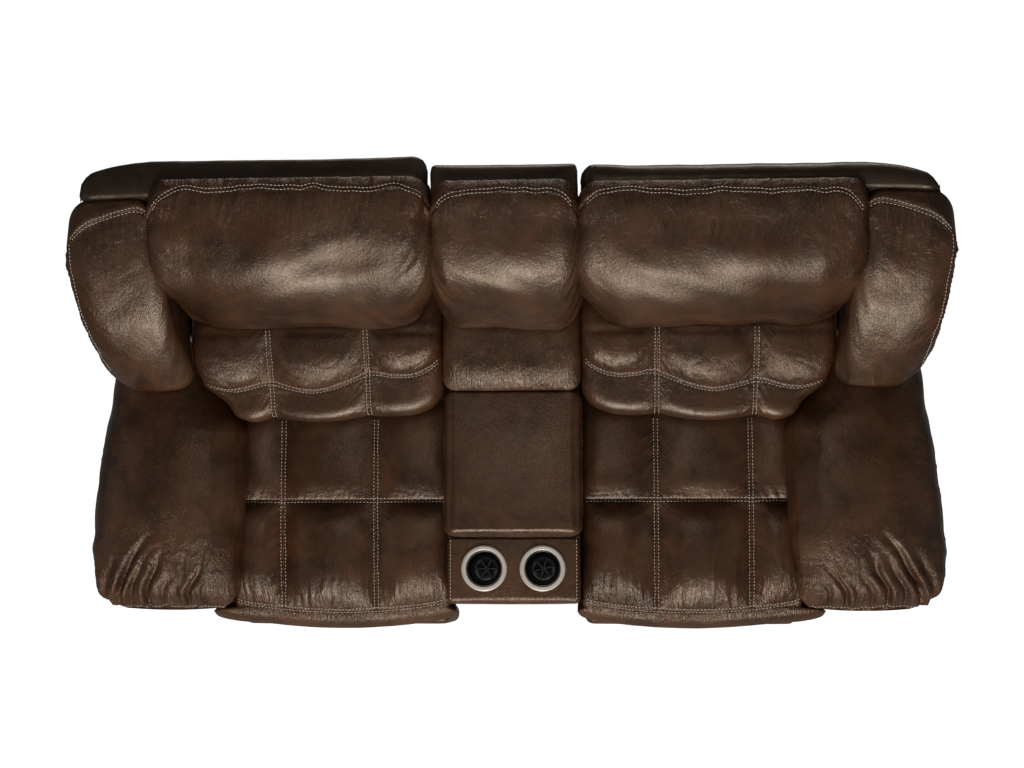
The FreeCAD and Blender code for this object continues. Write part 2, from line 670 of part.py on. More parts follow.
def make_footrest(name, side):
    """A steel frame with two brackets and a bar, and an upholstered board in front of it."""
    gap = size("footrest_gap")
    board_rear = size("footrest_back") + hair
    pieces = []
    for end, edge_side in (("inner", -1), ("outer", 1)):
        tag = "%s_%s_" % (name, end)
        corners = [(board_rear, size("bracket_low")), (size("bracket_rear"), size("bracket_low")),
                   (size("bracket_rear"), size("bracket_high")), (board_rear, size("bracket_high"))]
        pieces.append(plate_at(tag + "bracket", side, edge_side, layer_bracket, steel, corners))
        reach = layer_bracket - layer_carrier
        pieces.append(stub(tag + "attach_pin", side, edge_side, layer_carrier, reach, *attach,
                           size("pin_radius")))
    start = seat_inner + layer_bracket
    low_x, high_x = span(side, start, seat_outer - layer_bracket)
    bar_y = size("footrest_back") + hair + size("bar_radius")
    bar = rod(name + "_footrest_bar", (low_x, bar_y, size("bar_z")), high_x - low_x, size("bar_radius"))
    pieces.append(bar)
    node(fused(name + "_footrest_frame", pieces), name + "_footrest_frame")
    front, rear = float(size("footrest_front")), float(size("footrest_back"))
    low, high = float(size("footrest_low")), float(size("footrest_high"))
    inner, outer = float(seat_inner + gap), float(seat_outer - gap)
    depth = rear - front
    wires = []
    face_share = 0.24
    thin_shares = ((0, 0.3), (0.03, 0.08), (0.2, 0), (0.5, 0), (0.8, 0), (0.97, 0.08), (1, 0.3))
    for at, thin in thin_shares:
        inset = depth * thin * HALF
        face = front + depth * (face_share + thin)
        bevel = depth * face_share
        corners = [(rear, low + inset), (rear, high - inset), (face, high - inset - bevel),
                   (face, low + inset + bevel)]
        sagittas = [0, -bevel * HALF, -bevel * (1 - thin), -bevel * HALF]
        wires.append(section(at_x(side * mixed(inner, outer, at)), corners, sagittas))
    node(lofted(name + "_footrest_pad", wires), name + "_footrest_pad")


def make_seat_frame(name, side):
    """Two side rails on the side plates, two cross rails between them, and wave springs over the gap."""
    low, high = size("plate_top") + hair, size("seat_rail_top")
    front_y, rear_y = size("seat_rail_front"), size("seat_rail_rear")
    rail = size("rail")
    inset = size("rail_inset")
    rails, cross, springs = [], [], []
    for start in (seat_inner + inset, seat_outer - inset - rail):
        low_x, high_x = span(side, start, start + rail)
        rails.append(box(name + "_rail", (low_x, front_y, low), (high_x, rear_y, high)))
    low_x, high_x = span(side, seat_inner + inset + rail, seat_outer - inset - rail)
    for y in (front_y, rear_y - rail):
        wire_floor = high - size("wire_radius") * 2
        cross.append(box(name + "_cross", (low_x, y, low), (high_x, y + rail, wire_floor)))
    count = int(float(size("spring_count")))
    for index in range(count):
        share = (index + HALF) / count
        springs.append(wave_spring(name, mixed(float(low_x), float(high_x), share)))
    node(group(name + "_seat_side_rails", rails), name + "_seat_side_rails")
    node(group(name + "_seat_cross_rails", cross), name + "_seat_cross_rails")
    node(group(name + "_seat_springs", springs), name + "_seat_springs")


def wave_spring(name, x):
    """A flat wire of half rings that turn left and right, from the front rail to the rear rail."""
    radius = float(size("wire_radius"))
    z = float(size("seat_rail_top")) - radius
    start = float(size("seat_rail_front") + size("rail") / 2)
    end = float(size("seat_rail_rear") - size("rail") / 2)
    waves = int(float(size("spring_wave_count")))
    pitch = (end - start) / waves
    swing = float(size("spring_swing"))
    edges = []
    for index in range(waves):
        way = 1 if index % 2 else -1
        first = FreeCAD.Vector(x, start + index * pitch, z)
        middle = FreeCAD.Vector(x + way * swing * HALF, start + (index + HALF) * pitch, z)
        last = FreeCAD.Vector(x, start + (index + 1) * pitch, z)
        edges.append(Part.Arc(first, middle, last).toShape())
    path = Part.Wire(edges)
    aim = edges[0].tangentAt(edges[0].FirstParameter)
    ring = Part.Wire([Part.makeCircle(radius, edges[0].valueAt(edges[0].FirstParameter), aim)])
    thing = doc.addObject("Part::Feature", name + "_spring")
    thing.Shape = path.makePipeShell([ring], True, False)
    return thing


def make_seat_cushion(name, side):
    """Sections across: crowned panels between two sewn channels, a cross channel and a front roll."""
    inner, outer = float(seat_inner), float(seat_outer)
    low = float(size("seat_rail_top") + hair)
    top, lip = float(size("seat_top")), float(size("seat_lip_z"))
    front, rear = -float(size("seat_front")), float(size("seat_rear"))
    lip_y, cross_y = float(size("seat_lip_y")), float(size("cross_seam_y"))
    lumbar_y = float(size("lumbar_front_y"))
    dip, bow = float(size("seam_depth")), float(size("front_bow"))
    roll = top - lip
    nose_share, lip_share, roll_share, draw_share = 0.42, 0.13, 0.27, 0.25
    # share across the seat, and how far the crown sinks there as a share of a seam's depth
    sink_shares = ((0, 2.6), (0.04, 1), (0.19, 0), (inner_seam_share, 1), (0.56, 0), (outer_seam_share, 1),
                   (0.87, 0.2), (0.965, 1.3), (1, 3))
    wires = []
    for at, sink in sink_shares:
        drop = sink * dip
        nose = front + bow * (at + at - 1) ** 2 + drop * draw_share
        swell = dip if sink < 1 else dip * HALF
        crown = top - drop - dip
        behind = top - drop * HALF - dip
        corners = [(rear, low), (lip_y, low), (lip_y, lip), (nose + roll * lip_share, lip),
                   (nose + roll * nose_share, crown), (cross_y, crown + dip * HALF), (lumbar_y, behind),
                   (rear, behind)]
        sagittas = [0, 0, 0, roll * roll_share, swell, swell, 0, 0]
        wires.append(section(at_x(side * mixed(inner, outer, at)), corners, sagittas))
    main = lofted(name + "_seat_main", wires)
    ear = seat_ear(name, side, front + bow, lip)
    node(fused(name + "_seat_cushion", [main, ear]), name + "_seat_cushion")


def seat_ear(name, side, front, lip):
    """The outer end of the front roll, which wraps a little way round the arm's front."""
    reach, height = float(size("seat_lip_reach")), float(size("seat_lip_height"))
    dip = float(size("seam_depth"))
    seam_y = -float(size("arm_front") + size("edge"))
    wires = []
    thin_shares = ((-HALF, 0.05), (0, 0), (HALF, 0.1), (1, 0.5))
    for at, thin in thin_shares:
        nose = mixed(front, seam_y, thin)
        low_z = lip + dip * HALF + height * thin * HALF
        high_z = lip + height * (1 - thin * HALF)
        corners = [(seam_y, low_z), (nose + dip, low_z), (nose + dip, high_z), (seam_y, high_z)]
        wires.append(section(at_x(side * (float(seat_outer) + at * reach)), corners, [0, dip, 0, 0]))
    return lofted(name + "_seat_ear", wires)


def make_back_frame(name, side):
    """Two posts on the pivots, a lower rail, and the outside panel with its padded top band."""
    panel, depth = size("back_panel"), size("post_depth")
    width, inset = size("post_width"), size("post_inset")
    foot = size("pivot_z") - size("post_foot")
    head = size("back_top") - size("band_height")
    posts = []
    for start in (seat_inner + inset, seat_outer - inset - width):
        low_x, high_x = span(side, start, start + width)
        post = raked_box(name + "_post", low_x, high_x, panel + hair, panel + depth, foot, head)
        bore = rod(name + "_post_bore", (low_x - width, pivot_y, size("pivot_z")),
                   high_x - low_x + width * 2, size("pivot_radius") + size("run"))
        posts.append(cut(name + "_post_bored", post, bore))
    node(group(name + "_back_posts", posts), name + "_back_posts")
    low_x, high_x = span(side, seat_inner + inset + width, seat_outer - inset - width)
    rail_foot = size("lumbar_bottom") - size("post_depth")
    rail = raked_box(name + "_back_rail", low_x, high_x, panel + hair, panel + depth, rail_foot,
                     rail_foot + size("band_height"))
    node(rail, name + "_back_rail")
    make_back_panel(name, side, foot, head)


def make_back_panel(name, side, foot, head):
    """The upholstered outside panel: narrow between the arms, wide behind the wing, thick at the top."""
    inset = size("soft_inset")
    narrow_in, narrow_out = seat_inner + size("post_inset"), seat_outer - size("post_inset")
    wing_in = size("wing_inner")
    wide_out = size("band_outer")
    step_z = size("back_wide_from")
    narrow_x, narrow_far = span(side, narrow_in, narrow_out)
    lower = raked_box(name + "_panel_lower", narrow_x, narrow_far, ZERO, size("back_panel"), foot, step_z)
    wide_x, wide_far = span(side, seat_inner + inset, wing_in)
    upper = raked_box(name + "_panel_upper", wide_x, wide_far, ZERO, size("back_panel"), step_z, head)
    wing_x, wing_far = span(side, wing_in, wide_out)
    behind_wing = raked_box(name + "_panel_behind_wing", wing_x, wing_far, ZERO, size("band_depth"),
                            step_z, head)
    band_x, band_far = span(side, size("band_inner"), wide_out)
    band = raked_box(name + "_band", band_x, band_far, ZERO, size("band_depth"), head, size("back_top"))
    joined = fused(name + "_panel_solid", [lower, upper, behind_wing, band])
    doc.recompute()
    rounding = doc.addObject("Part::Fillet", name + "_back_panel")
    rounding.Base = joined
    rounding.Edges = top_edges(joined.Shape)
    node(rounding, name + "_back_panel")


def top_edges(shape):
    """The long edges at the very top of the band, each with its rounding."""
    chosen = []
    radius = float(size("soft_inset"))
    top = max(vertex.Z for vertex in shape.Vertexes)
    for index, edge in enumerate(shape.Edges, start=1):
        across = edge.BoundBox.XLength > float(size("band_depth"))
        if across and abs(edge.BoundBox.ZMax - top) < float(size("edge")):
            chosen.append((index, radius, radius))
    return chosen


def make_head_cushion(label, side, inner, outer, low):
    """Sections across: flat behind, a round crest, a full front that tucks in under itself."""
    forward = float(size("band_depth") + size("edge"))
    front_y, front_z = float(size("head_front_y")), float(size("head_front_z"))
    crest = float(size("head_crest"))
    depth = raked_line(front_z, forward) - front_y
    crest_share, tuck_share, crown_share, full_share = 0.2, 0.16, 0.32, 0.14
    # share across, and how much of the depth the cushion loses there
    thin_shares = ((0, 0.34), (0.035, 0.14), (0.16, 0.03), (0.5, 0), (0.84, 0.03), (0.965, 0.14), (1, 0.34))
    wires = []
    for at, thin in thin_shares:
        draw = depth * thin
        top = crest - draw * HALF
        shoulder = top - depth * crest_share
        behind = raked_line(shoulder, forward)
        corners = [(raked_line(low, forward), low),
                   (front_y + draw + depth * tuck_share, low + draw * HALF * HALF),
                   (front_y + draw, front_z),
                   (behind - depth * crown_share, top - depth * crest_share * HALF), (behind, shoulder)]
        sagittas = [0, depth * tuck_share * HALF, depth * full_share, depth * crest_share * HALF * HALF, 0]
        wires.append(section(at_x(side * mixed(inner, outer, at)), corners, sagittas))
    return node(lofted(label, wires), label)


def make_lumbar_cushion(label, side, stations, front_y, low, front_z):
    """Sections across: it leans on the frame, its top slopes forward and its front swells over the seat."""
    forward = float(size("band_depth") + size("edge"))
    top = float(size("lumbar_top"))
    base_share, slope_share, drop_share, bulge_share = 0.12, 0.14, 0.12, 0.05
    wires = []
    for x, thin in stations:
        depth = raked_line(front_z, forward) - front_y
        draw = depth * thin
        crest = top - draw * HALF
        behind = raked_line(crest, forward)
        bulge = depth * bulge_share
        corners = [(raked_line(low, forward), low), (front_y + draw + depth * base_share, low),
                   (front_y + draw, front_z),
                   (front_y + draw + depth * slope_share, crest - depth * drop_share),
                   (behind - depth * HALF, crest), (behind, crest)]
        sagittas = [0, bulge, bulge, bulge * HALF, 0, 0]
        wires.append(section(at_x(side * x), corners, sagittas))
    return node(lofted(label, wires), label)


def make_wing(name, side):
    """A stuffed bolster beside the head and lumbar cushions, from the arm up to the top of the back."""
    forward = float(size("band_depth") + hair * 2)
    inner, outer = float(size("wing_inner")), float(size("wing_outer"))
    low, top = float(size("back_wide_from")), float(size("back_top") - size("edge"))
    front = float(size("wing_front_y"))
    round_in = float(size("wing_round"))
    wires = []
    thin_shares = ((0, 0.5), (0.1, 0.1), (0.45, 0), (0.8, 0.3), (1, 1.2))
    for at, thin in thin_shares:
        inset = round_in * thin
        base, crest = low + inset * HALF, top - inset
        corners = [(raked_line(base, forward), base), (front + inset, base),
                   (front + inset, base + round_in),
                   (raked_line(crest, forward) - round_in * 2, crest), (raked_line(crest, forward), crest)]
        sagittas = [0, round_in * HALF * HALF, round_in, 0, 0]
        wires.append(section(at_x(side * mixed(inner, outer, at)), corners, sagittas))
    return node(lofted(name + "_wing", wires), name + "_wing")


def make_back_cushions(name, side):
    inner = float(seat_inner + size("soft_inset"))
    make_head_cushion(name + "_head_cushion", side, inner, float(size("head_outer")),
                      float(size("head_bottom")))
    outer = float(size("lumbar_outer"))
    seams = [mixed(float(seat_inner), float(seat_outer), share)
             for share in (inner_seam_share, outer_seam_share)]
    end_share, shoulder_share, far_share = 0.04, 0.17, 0.965
    end_thin, corner_thin, seam_thin = 0.16, 0.06, 0.03
    stations = [(inner, end_thin), (mixed(inner, outer, end_share), corner_thin),
                (mixed(inner, outer, shoulder_share), 0), (seams[0], seam_thin), (mixed(*seams, HALF), 0),
                (seams[1], seam_thin), (mixed(seams[1], outer, HALF), 0),
                (mixed(inner, outer, far_share), corner_thin), (outer, end_thin)]
    make_lumbar_cushion(name + "_lumbar_cushion", side, stations, float(size("lumbar_front_y")),
                        float(size("lumbar_bottom")), float(size("lumbar_front_z")))


def make_console_cushions():
    half = float(size("console_soft_half"))
    make_head_cushion("console_head_cushion", 1, -half, half, float(size("head_bottom")))
    thin_shares = ((0, 0.16), (0.05, 0.06), (0.25, 0), (0.5, 0), (0.75, 0), (0.95, 0.06), (1, 0.16))
    stations = [(mixed(-half, half, at), thin) for at, thin in thin_shares]
    low = float(size("console_lumbar_low"))
    make_lumbar_cushion("console_lumbar_cushion", 1, stations, float(size("console_lumbar_front")), low,
                        low + float(size("band_height")) * HALF)


stretcher("front_stretcher", front_stretcher_y)
stretcher("rear_stretcher", rear_stretcher_y)
make_rear_panels()
make_feet()
make_slide_rails()
make_console()
make_console_cushions()
tubs = []
for name, side in SIDES:
    make_arm(name, side)
    tubs.append(make_latch(name, side))
    make_mechanism(name, side)
    make_seat_frame(name, side)
    make_seat_cushion(name, side)
    make_back_frame(name, side)
    make_back_cushions(name, side)
    make_wing(name, side)
    make_footrest(name, side)
node(group("latch_tubs", tubs), "latch_tubs")

doc.recompute()
failed = [thing.Label for thing in doc.Objects if "Invalid" in thing.State or "Error" in thing.State]
for thing in NODES:
    if thing.Shape.isNull() or not thing.Shape.isValid():
        failed.append(thing.Label)
if failed:
    raise RuntimeError("these objects failed: %s" % ", ".join(failed))

os.makedirs("parts", exist_ok=True)
for thing in NODES:
    thing.Shape.exportStep(os.path.join("parts", thing.Label + ".step"))
    print(thing.Label, len(thing.Shape.Solids), "solids, volume", round(thing.Shape.Volume), "mm3")
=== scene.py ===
import bpy
import numpy as np
from mathutils import Matrix
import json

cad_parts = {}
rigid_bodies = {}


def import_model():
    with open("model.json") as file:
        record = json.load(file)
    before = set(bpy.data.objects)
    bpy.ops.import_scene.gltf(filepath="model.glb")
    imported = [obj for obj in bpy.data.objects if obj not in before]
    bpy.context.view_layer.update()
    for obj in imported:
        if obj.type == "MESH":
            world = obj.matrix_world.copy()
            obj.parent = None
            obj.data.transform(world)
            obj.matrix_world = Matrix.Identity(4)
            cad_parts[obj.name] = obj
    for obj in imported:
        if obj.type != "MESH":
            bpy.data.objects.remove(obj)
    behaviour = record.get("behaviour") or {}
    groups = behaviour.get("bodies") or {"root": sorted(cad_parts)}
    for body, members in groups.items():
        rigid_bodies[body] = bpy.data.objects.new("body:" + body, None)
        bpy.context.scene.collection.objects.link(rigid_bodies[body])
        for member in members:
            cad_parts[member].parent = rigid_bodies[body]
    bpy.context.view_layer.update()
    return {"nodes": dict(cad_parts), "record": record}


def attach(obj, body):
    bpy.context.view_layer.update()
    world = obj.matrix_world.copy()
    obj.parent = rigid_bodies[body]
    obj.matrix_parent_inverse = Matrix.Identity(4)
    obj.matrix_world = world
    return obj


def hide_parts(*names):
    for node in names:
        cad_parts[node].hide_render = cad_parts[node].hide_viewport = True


for leftover in list(bpy.data.objects):
    bpy.data.objects.remove(leftover)
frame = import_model()
sides = (("left", -1), ("right", 1))
print("frame loaded:", len(frame["nodes"]), "nodes")


def lattice(a, b, seed):
    # random numbers at whole places, joined by smooth steps; from -1 to 1
    i, j = np.floor(a), np.floor(b)
    fa, fb = a - i, b - j
    fa, fb = fa * fa * (3 - 2 * fa), fb * fb * (3 - 2 * fb)

    def knot(di, dj):
        h = np.sin((i + di) * 12.9898 + (j + dj) * 78.233 + seed * 37.719) * 43758.5453
        return (h - np.floor(h)) * 2 - 1

    low = knot(0, 0) * (1 - fa) + knot(1, 0) * fa
    high = knot(0, 1) * (1 - fa) + knot(1, 1) * fa
    return low * (1 - fb) + high * fb


def layered(a, b, seed, layers=3):
    # the sum of lattices, each twice as fine and half as strong as the last, over their summed strength
    total, weight = 0, 0
    for k in range(layers):
        total = total + lattice(a * 2 ** k + 7.3 * k, b * 2 ** k - 3.1 * k, seed + k) * 0.5 ** k
        weight += 0.5 ** k
    return total / weight


def creases(a, b, seed):
    # sharp valleys between broad ridges: the fold lines of soft leather, from -1 to 0
    return np.abs(layered(a, b, seed, 2)) ** 0.6 - 1


def ridges(a, b, seed):
    # narrow ridges with broad hollows between them, as in gathered leather, from -0.25 to 0.75
    return (1 - np.abs(lattice(a, b, seed))) ** 3 - 0.25


def twoRidges(a, b, seed, coarse, fine, weights):
    # coarse ridges with finer ones on them; coarse and fine each give a pitch and a length
    return weights[0] * ridges(a / coarse[0], b / coarse[1], seed) + \
        weights[1] * ridges(a / fine[0], b / fine[1], seed + 1)


def ease(value, low, high):
    # 0 below low, 1 above high, and 3 t^2 - 2 t^3 between them
    t = np.clip((value - low) / (high - low), 0, 1)
    return t * t * (3 - 2 * t)


def bell(distance, reach, power=2):
    # 1 at no distance, and 1/e at the reach
    return np.exp(-(distance / reach) ** power)


def outline(corners, rounds, swells, n, q):
    # A closed outline at each of n stations. q counts the corners: near a whole number the point is on
    # that corner's rounding, a cubic that meets both sides in line, and half way between two of them on
    # the side, which swells outward by swell * 4 t (1 - t). Corners may be arrays over the stations.
    def each(values):
        return np.stack([np.broadcast_to(np.asarray(v, float), (n,)) for v in values])

    q = np.broadcast_to(q, (n, len(q)))
    c = np.stack([each(p) for p in corners])
    r, s = each(rounds), each(swells)
    ahead = np.roll(c, -1, axis=0) - c
    length = np.linalg.norm(ahead, axis=1)
    unit = ahead / np.maximum(length, 1e-6)[:, None]
    r = np.minimum(r, 0.48 * np.minimum(length, np.roll(length, 1, axis=0)))
    leave = c + unit * r[:, None]
    reach = np.roll(c, -1, axis=0) - unit * np.roll(r, -1, axis=0)[:, None]
    outward = np.stack([-unit[:, 1], unit[:, 0]], axis=1)
    k = np.floor(q + 0.25).astype(int)
    f = q + 0.25 - k
    k = k % len(corners)
    station = np.arange(n)[:, None]
    s = np.minimum(s, 0.2 * np.linalg.norm(reach - leave, axis=1))
    starts = reach - leave + 4 * outward * s[:, None]
    stops = np.roll(reach - leave - 4 * outward * s[:, None], 1, axis=0)
    starts = starts / np.maximum(np.linalg.norm(starts, axis=1, keepdims=True), 1e-6)
    stops = stops / np.maximum(np.linalg.norm(stops, axis=1, keepdims=True), 1e-6)
    before = np.roll(reach, 1, axis=0)
    turned = np.sqrt(np.maximum((1 + np.sum(starts * stops, axis=1)) / 2, 0.1))
    pull = (np.linalg.norm(leave - before, axis=1) / turned)[:, None]
    starts, stops = starts * pull, stops * pull
    t = np.clip(f * 2, 0, 1)[..., None]
    arc = (2 * t ** 3 - 3 * t ** 2 + 1) * before[k, :, station]
    arc = arc + (t ** 3 - 2 * t ** 2 + t) * stops[k, :, station]
    arc = arc + (3 * t ** 2 - 2 * t ** 3) * leave[k, :, station] + (t ** 3 - t ** 2) * starts[k, :, station]
    t = np.clip(f * 2 - 1, 0, 1)[..., None]
    side = (1 - t) * leave[k, :, station] + t * reach[k, :, station]
    side = side + outward[k, :, station] * (s[k, station][..., None] * 4 * t * (1 - t))
    return np.where(f[..., None] < 0.5, arc, side)


def spread(knots, step):
    # values from the first knot to the last, through each of them, about a step apart
    parts = [np.linspace(a, b, max(1, int(np.ceil(abs(b - a) / step))), endpoint=False)
             for a, b in zip(knots[:-1], knots[1:])]
    return np.append(np.concatenate(parts), knots[-1])


def rowsOf(corners, rounds, steps):
    # q values for one round of an outline, spaced by each side's own step, with an even count in all
    c = np.array([[float(np.mean(v)) for v in p] for p in corners])
    length = np.linalg.norm(np.roll(c, -1, axis=0) - c, axis=1)
    rows = []
    for k, step in enumerate(steps):
        r = min(float(np.mean(rounds[k])), 0.48 * min(length[k], length[k - 1]))
        nextR = float(np.mean(rounds[(k + 1) % len(steps)]))
        arc = 2 * max(1, int(np.ceil(0.8 * r / step)))
        side = max(1, int(np.ceil((length[k] - r - nextR) / step)))
        rows.append(np.linspace(k - 0.25, k + 0.25, arc, endpoint=False))
        rows.append(np.linspace(k + 0.25, k + 0.75, side, endpoint=False))
    rows = np.concatenate(rows)
    return rows if len(rows) % 2 == 0 else np.append(rows, (rows[-1] + len(steps) - 0.25) / 2)


def arcShare(loops, q, first, last):
    # how far along the surface each row lies between two values of q, from 0 to 1
    step = np.linalg.norm(np.diff(loops, axis=1), axis=2)
    run = np.concatenate([np.zeros((len(loops), 1)), np.cumsum(step, axis=1)], axis=1)
    a, b = [run[:, np.argmin(np.abs(q - k))][:, None] for k in (first, last)]
    return np.clip((run - a) / (b - a), 0, 1)


def shrunk(loops, inset):
    # every loop drawn in by its inset, towards the middle of its own box
    low, high = loops.min(axis=1, keepdims=True), loops.max(axis=1, keepdims=True)
    middle, half = (low + high) / 2, np.maximum((high - low) / 2, 1e-3)
    share = np.clip(1 - np.asarray(inset)[:, None, None] / half, 0.02, 1)
    return middle + (loops - middle) * share


def roundedEnd(distance, radius):
    # how far a rounding of that radius draws in, at a distance from its end
    t = np.clip(1 - distance / radius, 0, 1)
    return radius * (1 - np.sqrt(np.maximum(1 - t * t, 0)))


def endStations(low, high, radius, knots, step, count=7):
    # stations that crowd together over the rounded ends: low + radius (1 - cos), and so from the other end
    turn = radius * (1 - np.cos(np.linspace(0, np.pi / 2, count)))
    inner = [k for k in knots if low + radius < k < high - radius]
    middle = spread([low + radius] + inner + [high - radius], step)
    return np.concatenate([low + turn[:-1], middle, high - turn[:-1][::-1]])


def gridNormals(grid):
    # the cross product of the grid's two directions, turned to point out of the shape
    along = np.gradient(grid, axis=0)
    wide = np.concatenate([grid[:, -1:], grid, grid[:, :1]], axis=1)
    across = (wide[:, 2:] - wide[:, :-2]) / 2
    normal = np.cross(along, across)
    normal /= np.maximum(np.linalg.norm(normal, axis=2, keepdims=True), 1e-9)
    middle = grid.mean(axis=1, keepdims=True)
    return normal if np.sum(normal * (grid - middle)) > 0 else -normal


def withCaps(grid, rings, bulge):
    # more stations at both ends, whose loops shrink to a point and bulge along the line of stations
    grids = [grid]
    for end, first, second in ((0, grid[0], grid[1]), (1, grid[-1], grid[-2])):
        middle = first.mean(axis=0)
        away = middle - second.mean(axis=0)
        away = away / max(np.linalg.norm(away), 1e-9)
        share = np.linspace(1, 0.0, rings + 1)[1:, None, None]
        cap = middle + (first - middle) * share + away * bulge * (1 - share ** 2)
        grids = [cap[::-1]] + grids if end == 0 else grids + [cap]
    return np.concatenate(grids)


def linked(name, mesh, material=None):
    # the mesh as an object in the scene
    piece = bpy.data.objects.new(name, mesh)
    bpy.context.scene.collection.objects.link(piece)
    if material:
        mesh.materials.append(material)
    return piece


def meshFrom(name, grid, material, marks=None):
    # grid is stations by rows by 3 in millimetres, closed round its rows, with a point at each end
    n, m = grid.shape[:2]
    inside = grid[1:-1].reshape(-1, 3)
    points = np.vstack([inside, grid[0, :1], grid[-1, :1]]) / 1000
    i, j = np.meshgrid(np.arange(n - 3), np.arange(m), indexing="ij")
    nextJ = (j + 1) % m
    quads = np.stack([i * m + j, (i + 1) * m + j, (i + 1) * m + nextJ, i * m + nextJ], axis=-1).reshape(-1, 4)
    j = np.arange(m)
    nextJ = (j + 1) % m
    last = (n - 3) * m
    fanA = np.stack([np.full(m, (n - 2) * m), j, nextJ], axis=1)
    fanB = np.stack([np.full(m, (n - 2) * m + 1), last + nextJ, last + j], axis=1)
    a, b, c = points[quads[:, 0]], points[quads[:, 1]], points[quads[:, 2]]
    volume = np.sum(np.cross(b - a, c - a) * (a - points.mean(axis=0)))
    if volume < 0:
        quads, fanA, fanB = quads[:, ::-1], fanA[:, ::-1], fanB[:, ::-1]
    mesh = bpy.data.meshes.new(name)
    mesh.vertices.add(len(points))
    mesh.vertices.foreach_set("co", points.astype(np.float32).ravel())
    loops = np.concatenate([quads.ravel(), fanA.ravel(), fanB.ravel()])
    starts = np.concatenate([np.arange(len(quads)) * 4, len(quads) * 4 + np.arange(2 * m) * 3])
    mesh.loops.add(len(loops))
    mesh.loops.foreach_set("vertex_index", loops.astype(np.int32))
    mesh.polygons.add(len(starts))
    mesh.polygons.foreach_set("loop_start", starts.astype(np.int32))
    mesh.polygons.foreach_set("use_smooth", np.ones(len(starts), bool))
    mesh.update(calc_edges=True)
    mesh.validate()
    for mark, field in (marks or {}).items():
        amount = np.concatenate([field[1:-1].ravel(), field[0, :1], field[-1, :1]])
        layer = mesh.attributes.new(mark, "FLOAT", "POINT")
        layer.data.foreach_set("value", amount.astype(np.float32))
    return linked(name, mesh, material)


def resample(values, at, size, closed):
    # cubic weights that read a row of values at places in between
    base = np.floor(at).astype(int)
    f = at - base
    weights = np.stack([((-0.5 * f + 1) * f - 0.5) * f, (1.5 * f - 2.5) * f * f + 1,
                        ((-1.5 * f + 2) * f + 0.5) * f, (0.5 * f - 0.5) * f * f])
    total = 0
    for k in range(4):
        index = base + k - 1
        index = index % size if closed else np.clip(index, 0, size - 1)
        total = total + values[index] * weights[k].reshape((-1,) + (1,) * (values.ndim - 1))
    return total


cloth = {"ticks": 20, "quality": 5, "rings": 3}


def stuffed(name, grid, held, stuffing):
    # The grid puffed up as cloth under pressure. Held points stay, and a point's move of d becomes
    # d * cap / (cap + |d|), so that none moves past the cap.
    rings = cloth["rings"]
    capped = withCaps(grid, rings, 0)
    sheet = meshFrom(name + "Cloth", capped, cushionFinish)
    heldAll = np.ones(capped.shape[:2], bool)
    heldAll[rings:-rings] = held
    order = np.concatenate([heldAll[1:-1].ravel(), [True, True]])
    pins = sheet.vertex_groups.new(name="held")
    pins.add(np.nonzero(order)[0].tolist(), 1.0, "REPLACE")
    air = sheet.modifiers.new("stuffing", "CLOTH")
    air.settings.quality = cloth["quality"]
    air.settings.use_pressure = True
    air.settings.uniform_pressure_force = stuffing["pressure"]
    air.settings.shrink_min = -stuffing["spare"]
    air.settings.vertex_group_mass = "held"
    air.settings.effector_weights.gravity = 0
    air.collision_settings.use_collision = False
    air.point_cache.frame_start = 1
    air.point_cache.frame_end = cloth["ticks"]
    for tick in range(1, cloth["ticks"] + 1):
        bpy.context.scene.frame_set(tick)
    puffed = sheet.evaluated_get(bpy.context.evaluated_depsgraph_get()).to_mesh()
    moved = np.zeros(len(puffed.vertices) * 3, np.float32)
    puffed.vertices.foreach_get("co", moved)
    moved = moved.reshape(-1, 3)[:-2].reshape(capped.shape[0] - 2, -1, 3)
    moved = moved[rings - 1:1 - rings].astype(float) * 1000
    bpy.data.objects.remove(sheet)
    bpy.context.scene.frame_set(1)
    offset = moved - grid
    size = np.linalg.norm(offset, axis=2, keepdims=True)
    print("  stuffed", name, "mean move", round(float(size.mean()), 1), "most", round(float(size.max()), 1))
    return offset * stuffing["cap"] / (stuffing["cap"] + size)


capRings = 4  # the rings that close each end of a pad


